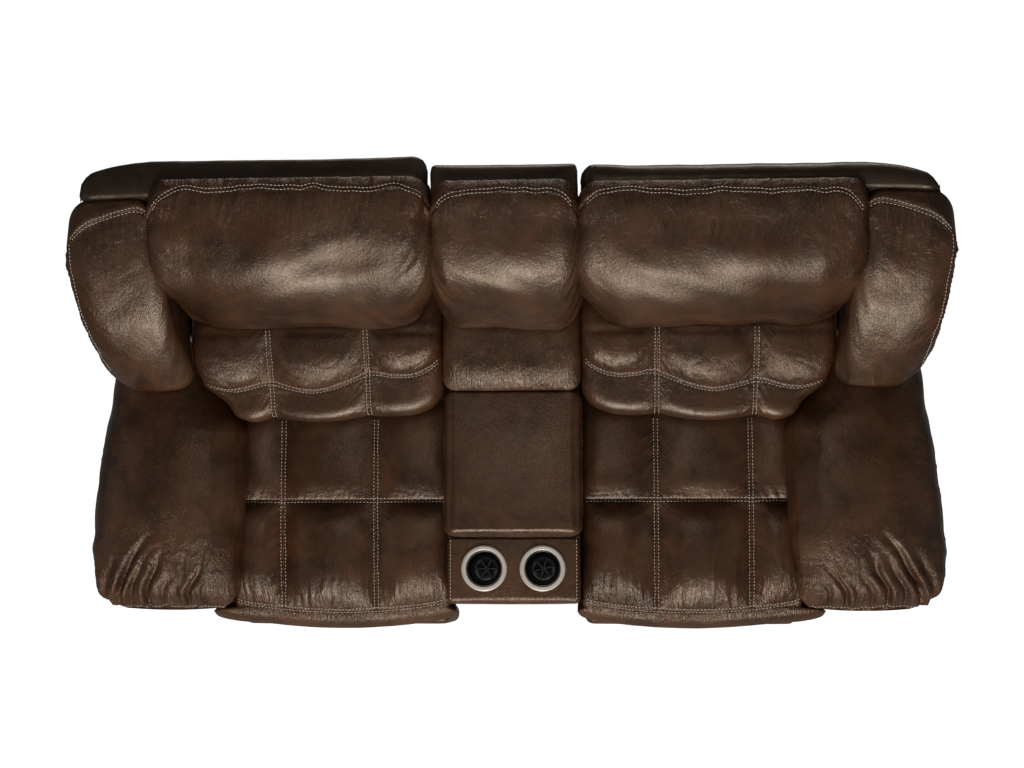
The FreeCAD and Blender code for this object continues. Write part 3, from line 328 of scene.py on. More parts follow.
def makePad(name, w, shape, corners, stations, coarse, held, detail, finish):
    # The fine grid takes its form from shape(stations, rows), the puff of the coarse cloth, and then the
    # seams, pleats and wrinkles that detail returns, in millimetres along the surface's normal.
    rows = rowsOf(corners, w["rounds"], w["steps"])
    grid = shape(stations, rows)
    count = len(corners)
    if coarse is not None:
        stuffing = w["stuffing"]
        coarseRows = rowsOf(corners, w["rounds"], w["coarseSteps"])
        coarseGrid = shape(coarse, coarseRows)
        fixed = np.broadcast_to(held(coarse[:, None], coarseRows[None]), coarseGrid.shape[:2])
        puff = stuffed(name, coarseGrid, fixed, stuffing)
        for _ in range(stuffing["smooth"]):
            padded = np.concatenate([puff[:1], puff, puff[-1:]])
            puff = (padded[:-2] + 2 * padded[1:-1] + padded[2:]) / 4
            puff = (np.roll(puff, 1, axis=1) + 2 * puff + np.roll(puff, -1, axis=1)) / 4
        if "calm" in stuffing:
            puff = puff * np.interp(coarseRows, *stuffing["calm"])[None, :, None]
        at = np.interp(stations, coarse, np.arange(len(coarse)))
        q = np.append(coarseRows, coarseRows[0] + count)
        around = np.interp(np.where(rows < q[0], rows + count, rows), q, np.arange(len(q)))
        puff = resample(puff, at, len(coarse), False)
        puff = resample(puff.transpose(1, 0, 2), around, len(coarseRows), True).transpose(1, 0, 2)
        grid = grid + puff
    step = np.linalg.norm(np.diff(grid, axis=1), axis=2)
    run = np.concatenate([np.zeros((len(grid), 1)), np.cumsum(step, axis=1)], axis=1)
    amount, creased, gathered = detail(np.broadcast_to(stations[:, None], run.shape), rows[None], run)
    grid = grid + gridNormals(grid) * amount[..., None]
    grid[..., 0] *= finish["side"]
    edge = np.zeros((capRings, grid.shape[1]))
    marks = {mark: np.concatenate([edge, np.clip(field, 0, 1), edge])
             for mark, field in (("creased", creased), ("gathered", gathered))}
    piece = meshFrom(name, withCaps(grid, capRings, finish["bulge"]), finish["material"], marks)
    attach(piece, finish["body"])
    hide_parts(*finish["replaces"])
    return {"piece": piece, "grid": grid, "normals": gridNormals(grid), "stations": stations, "rows": rows,
            "count": count, "run": run}


def cushion(side, body, node, fill, bulge):
    # what a leather cushion is made of and rides on
    return {"side": side, "body": body, "replaces": [node], "fill": fill, "bulge": bulge,
            "material": cushionFinish, "slot": "cushion_leather"}


seam = {"apart": 9.0, "trough": 1.7, "troughWidth": 2.4, "bed": 1.1, "bedWidth": 1.9}


def doubleSeam(distance):
    # the trough of the seam itself and the two beds that the stitches pull down beside it, all bells
    beside = np.abs(distance) - seam["apart"] / 2
    trough = seam["trough"] * bell(distance, seam["troughWidth"])
    return -trough - seam["bed"] * bell(beside, seam["bedWidth"])


def puckers(along, distance, seed, pitch, reach, height, slant):
    # short ridges that leave a seam at a slant and fade, each with a length of its own
    place = (along + slant * np.abs(distance)) / pitch
    length = reach * (1 + 0.6 * lattice(place * 0.7, np.zeros_like(place) + seed, seed + 3))
    ridge = 1.6 * ridges(place * 0.6, distance / (reach * 3), seed)
    ridge = ridge + 0.5 * lattice(place * 2, distance / reach, seed + 1)
    return height * ridge * np.exp(-(np.abs(distance) / length) ** 1.3) * (1 - bell(distance, 4))


def pleats(along, away, table):
    # Each pleat is a valley, a bell, with a lower ridge on both sides. Its row in the table gives where
    # it starts along the seam, its slant as it leaves, its length, its depth and its width.
    total = np.zeros_like(along)
    for start, slant, length, depth, width in table:
        across = along - (start + slant * away)
        fade = np.clip(1 - away / length, 0, 1) ** 0.8 * ease(away, -12, 4)
        opened = width * (1 + away / length)
        valley = -np.exp(-(across / opened) ** 2)
        ridge = 0.55 * np.exp(-((across - 2.1 * opened) / (1.5 * opened)) ** 2)
        ridge = ridge + 0.35 * np.exp(-((across + 2.3 * opened) / (1.6 * opened)) ** 2)
        total = total + depth * fade * (valley + ridge)
    return total


def follow(pad, at, q):
    # points and normals on a finished pad at fractions between its stations and rows
    stations, rows = pad["stations"], np.append(pad["rows"], pad["rows"][0] + pad["count"])
    fi = np.interp(at, stations, np.arange(len(stations)))
    fj = np.interp(np.where(q < rows[0], q + pad["count"], q), rows, np.arange(len(rows)))
    i, j = np.minimum(np.floor(fi).astype(int), len(stations) - 2), np.floor(fj).astype(int)
    fi, fj = (fi - i)[:, None], (fj - j)[:, None]
    m = len(pad["rows"])
    out = []
    for field in (pad["grid"], pad["normals"]):
        a, b = field[i, j % m], field[i + 1, j % m]
        c, d = field[i, (j + 1) % m], field[i + 1, (j + 1) % m]
        out.append((a * (1 - fi) + b * fi) * (1 - fj) + (c * (1 - fi) + d * fi) * fj)
    points, normals = out
    return points, normals / np.linalg.norm(normals, axis=1, keepdims=True)


thread = {"pitch": 8.4, "length": 6.4, "radius": 0.85, "sunk": 0.1, "sides": 6,
          "places": [-0.5, -0.42, -0.16, 0.16, 0.42, 0.5], "girths": [0.05, 0.7, 1, 1, 0.7, 0.05],
          "rises": [-0.9, -0.1, 0.5, 0.5, -0.1, -0.9]}


def stitchRow(points, normals):
    # One row of stitches: short threads along the line, whose girth and rise go from ring to ring by the
    # tables above, so that they are thick in the middle and their ends dive into the leather.
    step = np.linalg.norm(np.diff(points, axis=0), axis=1)
    run = np.append(0, np.cumsum(step))
    count = max(2, int(run[-1] / thread["pitch"]))
    at = (np.arange(count) + 0.5) * run[-1] / count

    def along(values, shift=0):
        return np.stack([np.interp(at + shift, run, values[:, k]) for k in range(3)], axis=1)

    centre, normal = along(points), along(normals)
    ahead = along(points, 1) - along(points, -1)
    ahead /= np.maximum(np.linalg.norm(ahead, axis=1, keepdims=True), 1e-9)
    aside = np.cross(normal, ahead)
    aside /= np.maximum(np.linalg.norm(aside, axis=1, keepdims=True), 1e-9)
    normal = np.cross(ahead, aside)
    place = np.array(thread["places"]) * thread["length"]
    girth = np.array(thread["girths"]) * thread["radius"]
    rise = np.array(thread["rises"]) * thread["radius"]
    turn = np.arange(thread["sides"]) * 2 * np.pi / thread["sides"]
    u = np.repeat(place[:, None], len(turn), axis=1)
    v = girth[:, None] * np.cos(turn)
    w = girth[:, None] * np.sin(turn) + rise[:, None] - thread["sunk"]
    body = centre[:, None, None] + ahead[:, None, None] * u[..., None] + aside[:, None, None] * v[..., None]
    return body + normal[:, None, None] * w[..., None]


def makeStitches(name, rows, body):
    # all the stitch rows of one cushion as a single piece
    bodies = np.concatenate(rows)
    k, rings, turns = bodies.shape[:3]
    points = bodies.reshape(-1, 3) / 1000
    i, j = np.meshgrid(np.arange(rings - 1), np.arange(turns), indexing="ij")
    nextJ = (j + 1) % turns
    quads = np.stack([i * turns + j, i * turns + nextJ, (i + 1) * turns + nextJ, (i + 1) * turns + j],
                     axis=-1).reshape(-1, 4)
    ends = np.stack([np.arange(turns)[::-1], (rings - 1) * turns + np.arange(turns)])
    shift = np.arange(k) * rings * turns
    allQuads = (quads[None] + shift[:, None, None]).reshape(-1, 4)
    allEnds = (ends[None] + shift[:, None, None]).reshape(-1, turns)
    mesh = bpy.data.meshes.new(name)
    mesh.from_pydata(points.tolist(), [], allQuads.tolist() + allEnds.tolist())
    mesh.polygons.foreach_set("use_smooth", np.ones(len(mesh.polygons), bool))
    mesh.update()
    piece = linked(name, mesh, threadFinish)
    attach(piece, body)


def stationsFor(w):
    # fine and coarse stations of a cushion with upright seams, closest together beside the seams
    near = sorted(s + d for s in w["seams"] for d in (-14, 14))
    stations = endStations(w["inner"], w["outer"], w["endRadius"], near, 3.2)
    fine = np.concatenate([s + np.linspace(-14, 14, 17) for s in w["seams"]])
    beside = sorted(s + d for s in w["seams"] for d in (-5, 0, 5))
    coarse = endStations(w["inner"], w["outer"], w["endRadius"], beside, 9, 4)
    return np.unique(np.round(np.concatenate([stations, fine]), 2)), coarse


def columnStitches(pad, place, start, stop):
    # two rows of stitches beside an upright seam
    q = np.linspace(start, stop, 320)
    return [stitchRow(*follow(pad, np.full(320, place + way * seam["apart"] / 2), q)) for way in (-1, 1)]


def rowStitches(pad, low, high, k, wave=0.0):
    # two rows of stitches beside a seam that runs across the cushion; wave shifts it along the surface
    at = np.linspace(low, high, 300)
    j = np.argmin(np.abs(pad["rows"] - k))
    rows = pad["rows"][max(j - 30, 0):j + 30]
    run = pad["run"][:, max(j - 30, 0):j + 30] - pad["run"][:, j:j + 1]
    station = np.interp(at, pad["stations"], np.arange(len(pad["stations"]))).astype(int)
    lines = []
    for way in (-1, 1):
        aim = wave + way * seam["apart"] / 2 + 0 * at
        q = np.array([np.interp(a, run[i], rows) for a, i in zip(aim, station)])
        q = np.convolve(np.pad(q, 4, mode="edge"), np.ones(9) / 9, mode="valid")
        lines.append(stitchRow(*follow(pad, at, q)))
    return lines


def nodeGroup(name, inputs, outputs):
    # an empty shader group with its sockets
    group = bpy.data.node_groups.new(name, "ShaderNodeTree")
    for label, kind, value in inputs:
        group.interface.new_socket(label, in_out="INPUT", socket_type=kind).default_value = value
    for label, kind in outputs:
        group.interface.new_socket(label, in_out="OUTPUT", socket_type=kind)
    return group, group.nodes.new("NodeGroupInput"), group.nodes.new("NodeGroupOutput")


def add(tree, kind, settings=None, **links):
    # a node with its values set and its inputs linked
    node = tree.nodes.new(kind)
    for key, value in (settings or {}).items():
        if key in node.inputs:
            node.inputs[key].default_value = value
        else:
            setattr(node, key, value)
    for key, source in links.items():
        tree.links.new(source, node.inputs[key.replace("_", " ")])
    return node


def feed(tree, sockets, values):
    # each socket gets its number or colour, or a link; None leaves it alone
    for socket, value in zip(sockets, values):
        if isinstance(value, (int, float, tuple)):
            socket.default_value = value
        elif value is not None:
            tree.links.new(value, socket)


def maths(tree, operation, a, b=None):
    node = add(tree, "ShaderNodeMath", {"operation": operation})
    feed(tree, node.inputs, (a, b))
    return node.outputs[0]


def chain(tree, operation, *values):
    # one operation over all the values in turn
    result = values[0]
    for value in values[1:]:
        result = maths(tree, operation, result, value)
    return result


def vectorMaths(tree, operation, *values):
    node = add(tree, "ShaderNodeVectorMath", {"operation": operation})
    feed(tree, node.inputs, values)
    return node.outputs[0]


def mixColour(tree, factor, a, b):
    node = add(tree, "ShaderNodeMix", {"data_type": "RGBA"})
    feed(tree, (node.inputs[0], node.inputs[6], node.inputs[7]), (factor, a, b))
    return node.outputs[2]


def noise(tree, vector, scale, detail, roughness=0.5, distortion=0.0, output="Fac"):
    settings = {"Scale": scale, "Detail": detail, "Roughness": roughness, "Distortion": distortion}
    return add(tree, "ShaderNodeTexNoise", settings, Vector=vector).outputs[output]


def remap(tree, value, low, high, first=0.0, last=1.0):
    settings = {"From Min": low, "From Max": high, "To Min": first, "To Max": last}
    return add(tree, "ShaderNodeMapRange", settings, Value=value).outputs[0]


def stretched(tree, vector, scale):
    return add(tree, "ShaderNodeMapping", {"Scale": scale}, Vector=vector).outputs[0]


def foldLines(tree, value, gain, power):
    # sharp lines where a noise crosses its middle: (gain * |value - 0.5|) ^ power
    away = maths(tree, "ABSOLUTE", maths(tree, "SUBTRACT", value, 0.5))
    return maths(tree, "POWER", maths(tree, "MULTIPLY", away, gain), power)


def leatherGroup():
    # Pebbled grain, fine folds, drawn streaks and cloudy dye. Creased asks for more folds and Gathered
    # for long streaks off a seam, where the piece's own attributes say so.
    colour, number = "NodeSocketColor", "NodeSocketFloat"
    group, given, result = nodeGroup(
        "leatherGrain",
        [("Deep", colour, (0.02, 0.01, 0.006, 1)), ("Warm", colour, (0.06, 0.025, 0.012, 1)),
         ("Pale", colour, (0.09, 0.06, 0.045, 1)), ("Creased", number, 0.0), ("Gathered", number, 0.0),
         ("Folds", number, 1.0)],
        [("Colour", colour), ("Roughness", number), ("Height", number)])
    spot = add(group, "ShaderNodeTexCoord").outputs["Object"]
    cloud = noise(group, spot, 7.0, 3.0, 0.6, 0.6)
    warmth = noise(group, spot, 9.0, 6.0, 0.68)
    fine = noise(group, spot, 160.0, 3.0)
    pebble = add(group, "ShaderNodeTexVoronoi", {"feature": "SMOOTH_F1", "Scale": 520.0, "Smoothness": 0.6},
                 Vector=spot).outputs["Distance"]
    valley = foldLines(group, noise(group, spot, 78.0, 4.0, 0.62, 1.2), 4.0, 0.7)
    wide = noise(group, spot, 24.0, 2.0, distortion=0.8)
    drift = noise(group, spot, 8.0, 1.0, output="Color")
    bent = vectorMaths(group, "MULTIPLY_ADD", drift, (0.11, 0.11, 0.11), spot)
    streak = noise(group, stretched(group, bent, (1.0, 0.34, 0.34)), 170.0, 2.0, 0.55)
    patch = remap(group, noise(group, spot, 13.0, 1.0), 0.35, 0.65, 0.15)
    streak = maths(group, "MULTIPLY", foldLines(group, streak, 3.0, 0.6), patch)
    swayed = vectorMaths(group, "MULTIPLY_ADD", drift, (0.03, 0.03, 0.03), spot)
    pulled = noise(group, stretched(group, swayed, (1.0, 0.1, 0.1)), 130.0, 2.0, 0.6)
    pulled = maths(group, "MULTIPLY", foldLines(group, pulled, 3.0, 0.7), given.outputs["Gathered"])
    dye = mixColour(group, remap(group, warmth, 0.35, 0.66), given.outputs["Deep"], given.outputs["Warm"])
    dye = mixColour(group, remap(group, cloud, 0.48, 0.74, 0.0, 0.7), dye, given.outputs["Pale"])
    dusty = maths(group, "MULTIPLY", maths(group, "SUBTRACT", fine, 0.35), 0.35)
    dye = mixColour(group, dusty, dye, given.outputs["Deep"])
    group.links.new(dye, result.inputs["Colour"])
    rough = chain(group, "ADD", maths(group, "MULTIPLY", fine, 0.16),
                  maths(group, "MULTIPLY", cloud, 0.14), 0.2)
    group.links.new(rough, result.inputs["Roughness"])
    folds = maths(group, "MULTIPLY", given.outputs["Folds"],
                  maths(group, "ADD", given.outputs["Creased"], 0.35))
    layers = [chain(group, "MULTIPLY", *values) for values in
              ((valley, folds, 0.4), (wide, folds, 1.2), (streak, folds, 0.8), (pulled, 1.1), (pebble, 0.12),
               (fine, 0.38))]
    group.links.new(chain(group, "ADD", *layers), result.inputs["Height"])
    return group


def newMaterial(name):
    material = bpy.data.materials.new(name)
    material.use_nodes = True
    tree = material.node_tree
    return material, tree, tree.nodes["Principled BSDF"]


def leather(name, look):
    # a leather with its own dye, gloss and depth of grain
    material, tree, shader = newMaterial(name)
    grain = add(tree, "ShaderNodeGroup", {"node_tree": leatherGrain})
    for key in ("Deep", "Warm", "Pale", "Folds"):
        grain.inputs[key].default_value = look[key]
    for mark, socket in (("creased", "Creased"), ("gathered", "Gathered")):
        amount = add(tree, "ShaderNodeAttribute", {"attribute_name": mark})
        tree.links.new(amount.outputs["Fac"], grain.inputs[socket])
    bump = add(tree, "ShaderNodeBump", {"Strength": look["bump"], "Distance": 0.0016},
               Height=grain.outputs["Height"])
    tree.links.new(grain.outputs["Colour"], shader.inputs["Base Color"])
    tree.links.new(grain.outputs["Roughness"], shader.inputs["Roughness"])
    tree.links.new(bump.outputs[0], shader.inputs["Normal"])
    shader.inputs["Specular IOR Level"].default_value = look["shine"]
    shader.inputs["Specular Tint"].default_value = (1.0, 0.82, 0.66, 1)
    return material


leatherGrain = leatherGroup()
leatherLook = {
    "cushionLeather": {"Deep": (0.0188, 0.0083, 0.0041, 1), "Warm": (0.062, 0.0226, 0.0086, 1),
                       "Pale": (0.082, 0.038, 0.0195, 1), "Folds": 1.0, "bump": 0.62, "shine": 0.5},
    "panelLeather": {"Deep": (0.013, 0.0085, 0.006, 1), "Warm": (0.027, 0.0155, 0.0098, 1),
                     "Pale": (0.034, 0.0225, 0.0165, 1), "Folds": 0.5, "bump": 0.5, "shine": 0.45},
}
cushionFinish, panelFinish = [leather(name, look) for name, look in leatherLook.items()]


def threadMaterial():
    # waxed cream thread: a fine twist in its colour and relief
    material, tree, shader = newMaterial("creamThread")
    twist = noise(tree, add(tree, "ShaderNodeTexCoord").outputs["Object"], 900.0, 2.0)
    colour = mixColour(tree, twist, (0.42, 0.35, 0.28, 1), (0.66, 0.58, 0.49, 1))
    bump = add(tree, "ShaderNodeBump", {"Strength": 0.4, "Distance": 0.0003}, Height=twist)
    tree.links.new(colour, shader.inputs["Base Color"])
    tree.links.new(bump.outputs[0], shader.inputs["Normal"])
    shader.inputs["Roughness"].default_value = 0.7
    return material


def plainMaterial(name, look):
    # a dyed or coated solid whose colour and roughness drift a little, with fine relief
    material, tree, shader = newMaterial(name)
    spot = stretched(tree, add(tree, "ShaderNodeTexCoord").outputs["Object"], look.get("stretch", (1, 1, 1)))
    drift = noise(tree, spot, look["drift"], 5.0, 0.6)
    bump = add(tree, "ShaderNodeBump", {"Strength": look["bump"], "Distance": 0.0004},
               Height=noise(tree, spot, look["fine"], 2.0))
    tree.links.new(mixColour(tree, drift, look["dark"], look["light"]), shader.inputs["Base Color"])
    tree.links.new(remap(tree, drift, 0.0, 1.0, look["smooth"], look["rough"]), shader.inputs["Roughness"])
    tree.links.new(bump.outputs[0], shader.inputs["Normal"])
    shader.inputs["Metallic"].default_value = look.get("metal", 0.0)
    return material


threadFinish = threadMaterial()
plainLook = {
    "frame_wood": {"drift": 6, "fine": 240, "stretch": (1, 9, 9), "dark": (0.16, 0.09, 0.045, 1),
                   "light": (0.34, 0.21, 0.115, 1), "smooth": 0.5, "rough": 0.75, "bump": 0.35},
    "foot_rubber": {"drift": 30, "fine": 700, "dark": (0.012, 0.012, 0.012, 1),
                    "light": (0.03, 0.03, 0.029, 1), "smooth": 0.6, "rough": 0.85, "bump": 0.4},
    "mechanism_steel": {"drift": 14, "fine": 420, "dark": (0.05, 0.05, 0.052, 1),
                        "light": (0.12, 0.12, 0.122, 1), "smooth": 0.32, "rough": 0.55, "bump": 0.25,
                        "metal": 0.85},
    "bright_ring": {"drift": 60, "fine": 900, "dark": (0.5, 0.455, 0.415, 1), "light": (0.6, 0.55, 0.505, 1),
                    "smooth": 0.3, "rough": 0.42, "bump": 0.12, "metal": 0.25},
    "black_plastic": {"drift": 25, "fine": 1100, "dark": (0.009, 0.011, 0.01, 1),
                      "light": (0.02, 0.024, 0.021, 1), "smooth": 0.26, "rough": 0.42, "bump": 0.2},
}
names = {"frame_wood": "frameWood", "foot_rubber": "footRubber", "mechanism_steel": "mechanismSteel",
         "bright_ring": "brightRing", "black_plastic": "blackPlastic"}
plainFinish = {slot: plainMaterial(names[slot], look) for slot, look in plainLook.items()}
for subpart in frame["record"]["subparts"]:
    nodeMesh = frame["nodes"][subpart["node"]].data
    nodeMesh.materials.clear()
    nodeMesh.materials.append(plainFinish.get(subpart["material_slot"], panelFinish))
print("finishes made")

# the back's rake, shared by everything that leans with it
rake = {"tan": np.tan(np.radians(18.6)), "cos": np.cos(np.radians(18.6)), "top": 985.0, "rear": 506.0,
        "frame": 61.0}


def rakeY(z, forward):
    # the depth at a height, so far in front of the leaning rear face
    return rake["rear"] - (rake["top"] - z) * rake["tan"] - forward / rake["cos"]


def pickRow(q, run, k):
    # the distance along the surface at a corner of the outline
    return run[:, np.argmin(np.abs(q - k))][:, None]


def smoothTable(x, places, values, reach=18):
    # a table read through a short running mean, so that its corners are soft
    return sum(np.interp(x + d, places, values) for d in np.linspace(-reach, reach, 7)) / 7


def panelPuff(x, t, seams, ends, power=2.6):
    # crowns between the upright seams and between two cross seams, 0 on a seam and 1 in the middle
    knots = np.array([ends[0]] + list(seams) + [ends[1]])
    k = np.clip(np.searchsorted(knots, x) - 1, 0, len(knots) - 2)
    s = 2 * (x - knots[k]) / (knots[k + 1] - knots[k]) - 1
    along = 1 - np.abs(np.clip(2 * t - 1, -1, 1)) ** power
    return (1 - np.abs(s) ** 2.6)[:, None] * along


def toSeams(x, seams):
    # how near the nearest upright seam is, for a column of stations
    return np.min(np.abs(x - np.array(seams)), axis=1, keepdims=True)


seatSizes = {
    "inner": 162.5, "outer": 691.0, "rear": 184.0, "nose": -506.0, "bow": 24.0, "lip": 396.0,
    "stitchBack": 47.0, "stitchTop": 452.0, "cross": -192.0, "crossTop": 490.0, "lumbar": -9.0,
    "seams": (341.0, 569.0), "crownFront": 35.0, "crownRear": 16.0, "endRadius": 14.0, "ear": 60.0,
    "rounds": [8, 8, 6, 10, 18, 20, 10, 10, 20, 12], "swells": [0] * 10,
    "steps": [14, 18, 10, 5, 3, 2.6, 2.6, 2.8, 4, 12], "coarseSteps": [40, 40, 30, 12, 9, 8, 8, 9, 12, 40],
    "stuffing": {"pressure": 3.0, "spare": 0.01, "cap": 9.0, "smooth": 3,
                 "calm": ([0, 6, 6.3, 10], [0, 0, 1, 1])},
    "seamPuckers": ((11, 7.5, 17, 1.8, 0.9), (13, 17, 30, 1.5, 0.6)), "crossPuckers": (8, 18, 1.2, 0.2),
    "gather": 2.1, "underGather": 1.8, "ripple": 0.8,
}


def seatNose(x):
    # the front edge: a parabola that stands furthest forward in the middle
    w = seatSizes
    a = (x - w["inner"]) / (w["outer"] - w["inner"])
    return w["nose"] + w["bow"] * (2 * a - 1) ** 2


def seatCorners(x):
    # the section at x: flat below, a rolled nose, the sloping front panel and the flat rear one
    w = seatSizes
    corner = np.clip(1 - np.minimum(x - w["inner"], w["outer"] - x) / 52, 0, 1) ** 2
    nose = seatNose(x) + 9 * corner
    return [(w["rear"], 348), (-430, 348), (-430, w["lip"]), (nose + 18, w["lip"]), (nose + 1, 410),
            (nose + 18, 441), (nose + w["stitchBack"] - 6 * corner, w["stitchTop"]),
            (w["cross"], w["crossTop"]), (w["lumbar"], 492), (w["rear"], 486)]


def seatShape(x, q):
    # the section with crowned panels, rounded ends, and an ear that reaches out in front of the arm
    w = seatSizes
    loops = outline(seatCorners(x), w["rounds"], w["swells"], len(x), q)
    y = loops[..., 0]
    front = seatNose(x)[:, None] + w["stitchBack"]
    ends = (w["inner"] - 24, w["outer"] + 24)
    t = (y - front) / (w["cross"] - front)
    crown = w["crownFront"] * panelPuff(x, np.clip(t, 0, 1), w["seams"], ends, 3.2) * ((q > 6) & (q < 7))
    t = (y - w["cross"]) / (w["lumbar"] + 60 - w["cross"])
    crown = crown + w["crownRear"] * panelPuff(x, np.clip(t, 0, 1), w["seams"], ends, 3) * ((q > 7) & (q < 9))
    loops[..., 1] += crown
    distance = np.minimum(x - w["inner"], w["outer"] - x)
    loops = shrunk(loops, roundedEnd(distance, w["endRadius"]) * 0.9)
    ahead = ease(-loops[..., 0], 447, 458)
    ear = ahead * ease(x, w["outer"] - 110, w["outer"])[:, None] * w["ear"]
    ear = ear - ahead * ease(-x, -w["inner"] - 60, -w["inner"])[:, None] * 15
    return np.stack([x[:, None] + ear, loops[..., 0], loops[..., 1]], axis=-1)


def makeSeat(name, side, seed):
    w = seatSizes

    def held(x, q):
        row = (np.abs(q - 6) < 0.05) | (np.abs(q - 7) < 0.05) | (q < 3.2) | (q > 8.6)
        column = (toSeams(x, w["seams"]) < 6) & (q > 5.9) & (q < 9)
        return row | column | (x == x.min()) | (x == x.max())

    def detail(x, q, run):
        frontRun, crossRun = run - pickRow(q, run, 6), run - pickRow(q, run, 7)
        top, ahead, above = (q > 6.0) & (q < 9.2), (q > 5) & (q < 7), (q > 6) & (q < 9)
        amount = 0.6 * doubleSeam(frontRun) * ahead + 0.6 * doubleSeam(crossRun) * above
        creased = np.zeros_like(run)
        for k, s in enumerate(w["seams"]):
            amount = amount + doubleSeam(x - s) * top
            for step, *form in w["seamPuckers"]:
                amount = amount + puckers(run, x - s, seed + step * k, *form) * top
            creased = creased + 0.7 * bell(x - s, 22) * top
        amount = amount + puckers(x, crossRun, seed + 31, *w["crossPuckers"]) * above
        ripple = creases(crossRun / 9, x / 70, seed + 33) * bell(crossRun - 16, 16) * (q < 9)
        amount = amount + w["ripple"] * ripple * (crossRun > 3)
        bent = x + 5 * lattice(x / 40, frontRun / 34, seed)
        gather = twoRidges(bent, frontRun, seed + 5, (13, 110), (8, 60), (1.4, 0.7))
        reach = 92 + 44 * lattice(x / 23, np.zeros_like(x), seed + 8)
        gather = w["gather"] * gather * bell(np.clip(frontRun - 5, 0, None), reach, 1.5)
        gather = gather * ease(frontRun, 3, 9)
        reach = 13 + 6 * lattice(x / 19, 0 * x, seed + 2)
        under = w["underGather"] * ridges(x / 11, frontRun / 80, seed + 9)
        under = under * bell(np.clip(-frontRun - 5, 0, None), reach) * ease(-frontRun, 3, 7)
        amount = amount + (gather * (q > 6) + under * (q < 6)) * ((q > 4) & (q < 7.2))
        amount = amount + 0.5 * layered(x / 34, run / 46, seed + 40) * ((q > 4) & (q < 9.3))
        creased = creased + 0.8 * bell(frontRun, 60) + 0.5 * bell(crossRun, 25)
        return amount, creased, bell(frontRun, 92) * ahead

    pad = makePad(name + "_seatCushion", w, seatShape, seatCorners(np.array([426.0])), *stationsFor(w), held,
                  detail, cushion(side, name + "_carriage", name + "_seat_cushion", 0.8, 1.0))
    lines = [line for s in w["seams"] for line in columnStitches(pad, s, 6.02, 8.2)]
    lines += [line for k in (6.0, 7.0) for line in rowStitches(pad, w["inner"] + 8, w["outer"] - 6, k)]
    makeStitches(name + "_seatStitching", lines, name + "_carriage")


for number, (name, side) in enumerate(sides):
    makeSeat(name, side, 3 + 50 * number)
print("seats made")

lumbarSizes = {
    "inner": 163.0, "outer": 738.0, "seams": (340.0, 569.0), "low": 512.0, "top": 705.0, "endRadius": 30.0,
    "crown": 21.0, "roll": 14.0,
    "scallopX": (160, 178, 208, 243, 284, 326, 340, 373, 420, 473, 520, 574, 627, 686, 743),
    "scallopY": (130, 118, 99, 91, 92, 100, 98, 84, 66, 56, 64, 80, 66, 58, 76),
    "frontX": (160, 185, 230, 330, 440, 560, 660, 720), "frontY": (42, 26, 10, 0, -4, -4, -4, 6),
    "rounds": [8, 34, 46, 10, 24, 10], "swells": [0, 0, 0, 1, 0, 0],
    "steps": [18, 5, 3, 2.8, 6, 14], "coarseSteps": [40, 14, 8, 8, 14, 40],
    "stuffing": {"pressure": 3.5, "spare": 0.015, "cap": 11.0, "smooth": 2,
                 "calm": ([0, 3, 3.3, 6], [0, 0, 1, 1])},
    "seamPuckers": (9, 26, 1.5, 0.8), "upperPuckers": (10, 24, 1.5, 0.6), "lowerPuckers": (7, 13, 0.9, 0.2),
    "slanted": 2.2,
}


def lumbarCorners(x):
    # the section at x: a roll in front, the scalloped seam over it, and the upper panel behind
    w = lumbarSizes
    scallop = smoothTable(x, w["scallopX"], w["scallopY"])
    front = smoothTable(x, w["frontX"], w["frontY"])
    return [(rakeY(w["low"], rake["frame"]), w["low"]), (front + 40, w["low"]), (front - 5, 620),
            (scallop, 644 + (scallop - 54) * 0.3), (186, w["top"] + 6),
            (rakeY(w["top"] - 14, rake["frame"]), w["top"] - 14)]


def lumbarShape(x, q):
    # The section with crowned panels and rounded ends. Its outer end draws back beside the arm pillow,
    # which it may not enter low down or in front.
    w = lumbarSizes
    loops = outline(lumbarCorners(x), w["rounds"], w["swells"], len(x), q)
    ends = (w["inner"] - 16, w["outer"] + 16)
    up = w["crown"] * panelPuff(x, arcShare(loops, q, 3, 4) ** 0.8, w["seams"], ends, 2.2)
    roll = w["roll"] * panelPuff(x, arcShare(loops, q, 1, 3), w["seams"], ends)
    loops[..., 1] += up * 0.85 + roll * 0.35
    loops[..., 0] -= up * 0.4 + roll * 0.9
    loops = shrunk(loops, roundedEnd(np.minimum(x - w["inner"], w["outer"] - x), w["endRadius"]))
    free = ease(loops[..., 0], 22, 84) * ease(loops[..., 1], 520, 590)
    high = 18 * ease(loops[..., 1], 640, 690)
    tuck = ease(loops[..., 0], 150, 220) * (1 - ease(loops[..., 1], 575, 625))
    draw = (np.maximum((1 - free) * 60, 62 * tuck) - high) * ease(x, 560, w["outer"])[:, None]
    return np.stack([x[:, None] - draw, loops[..., 0], loops[..., 1]], axis=-1)


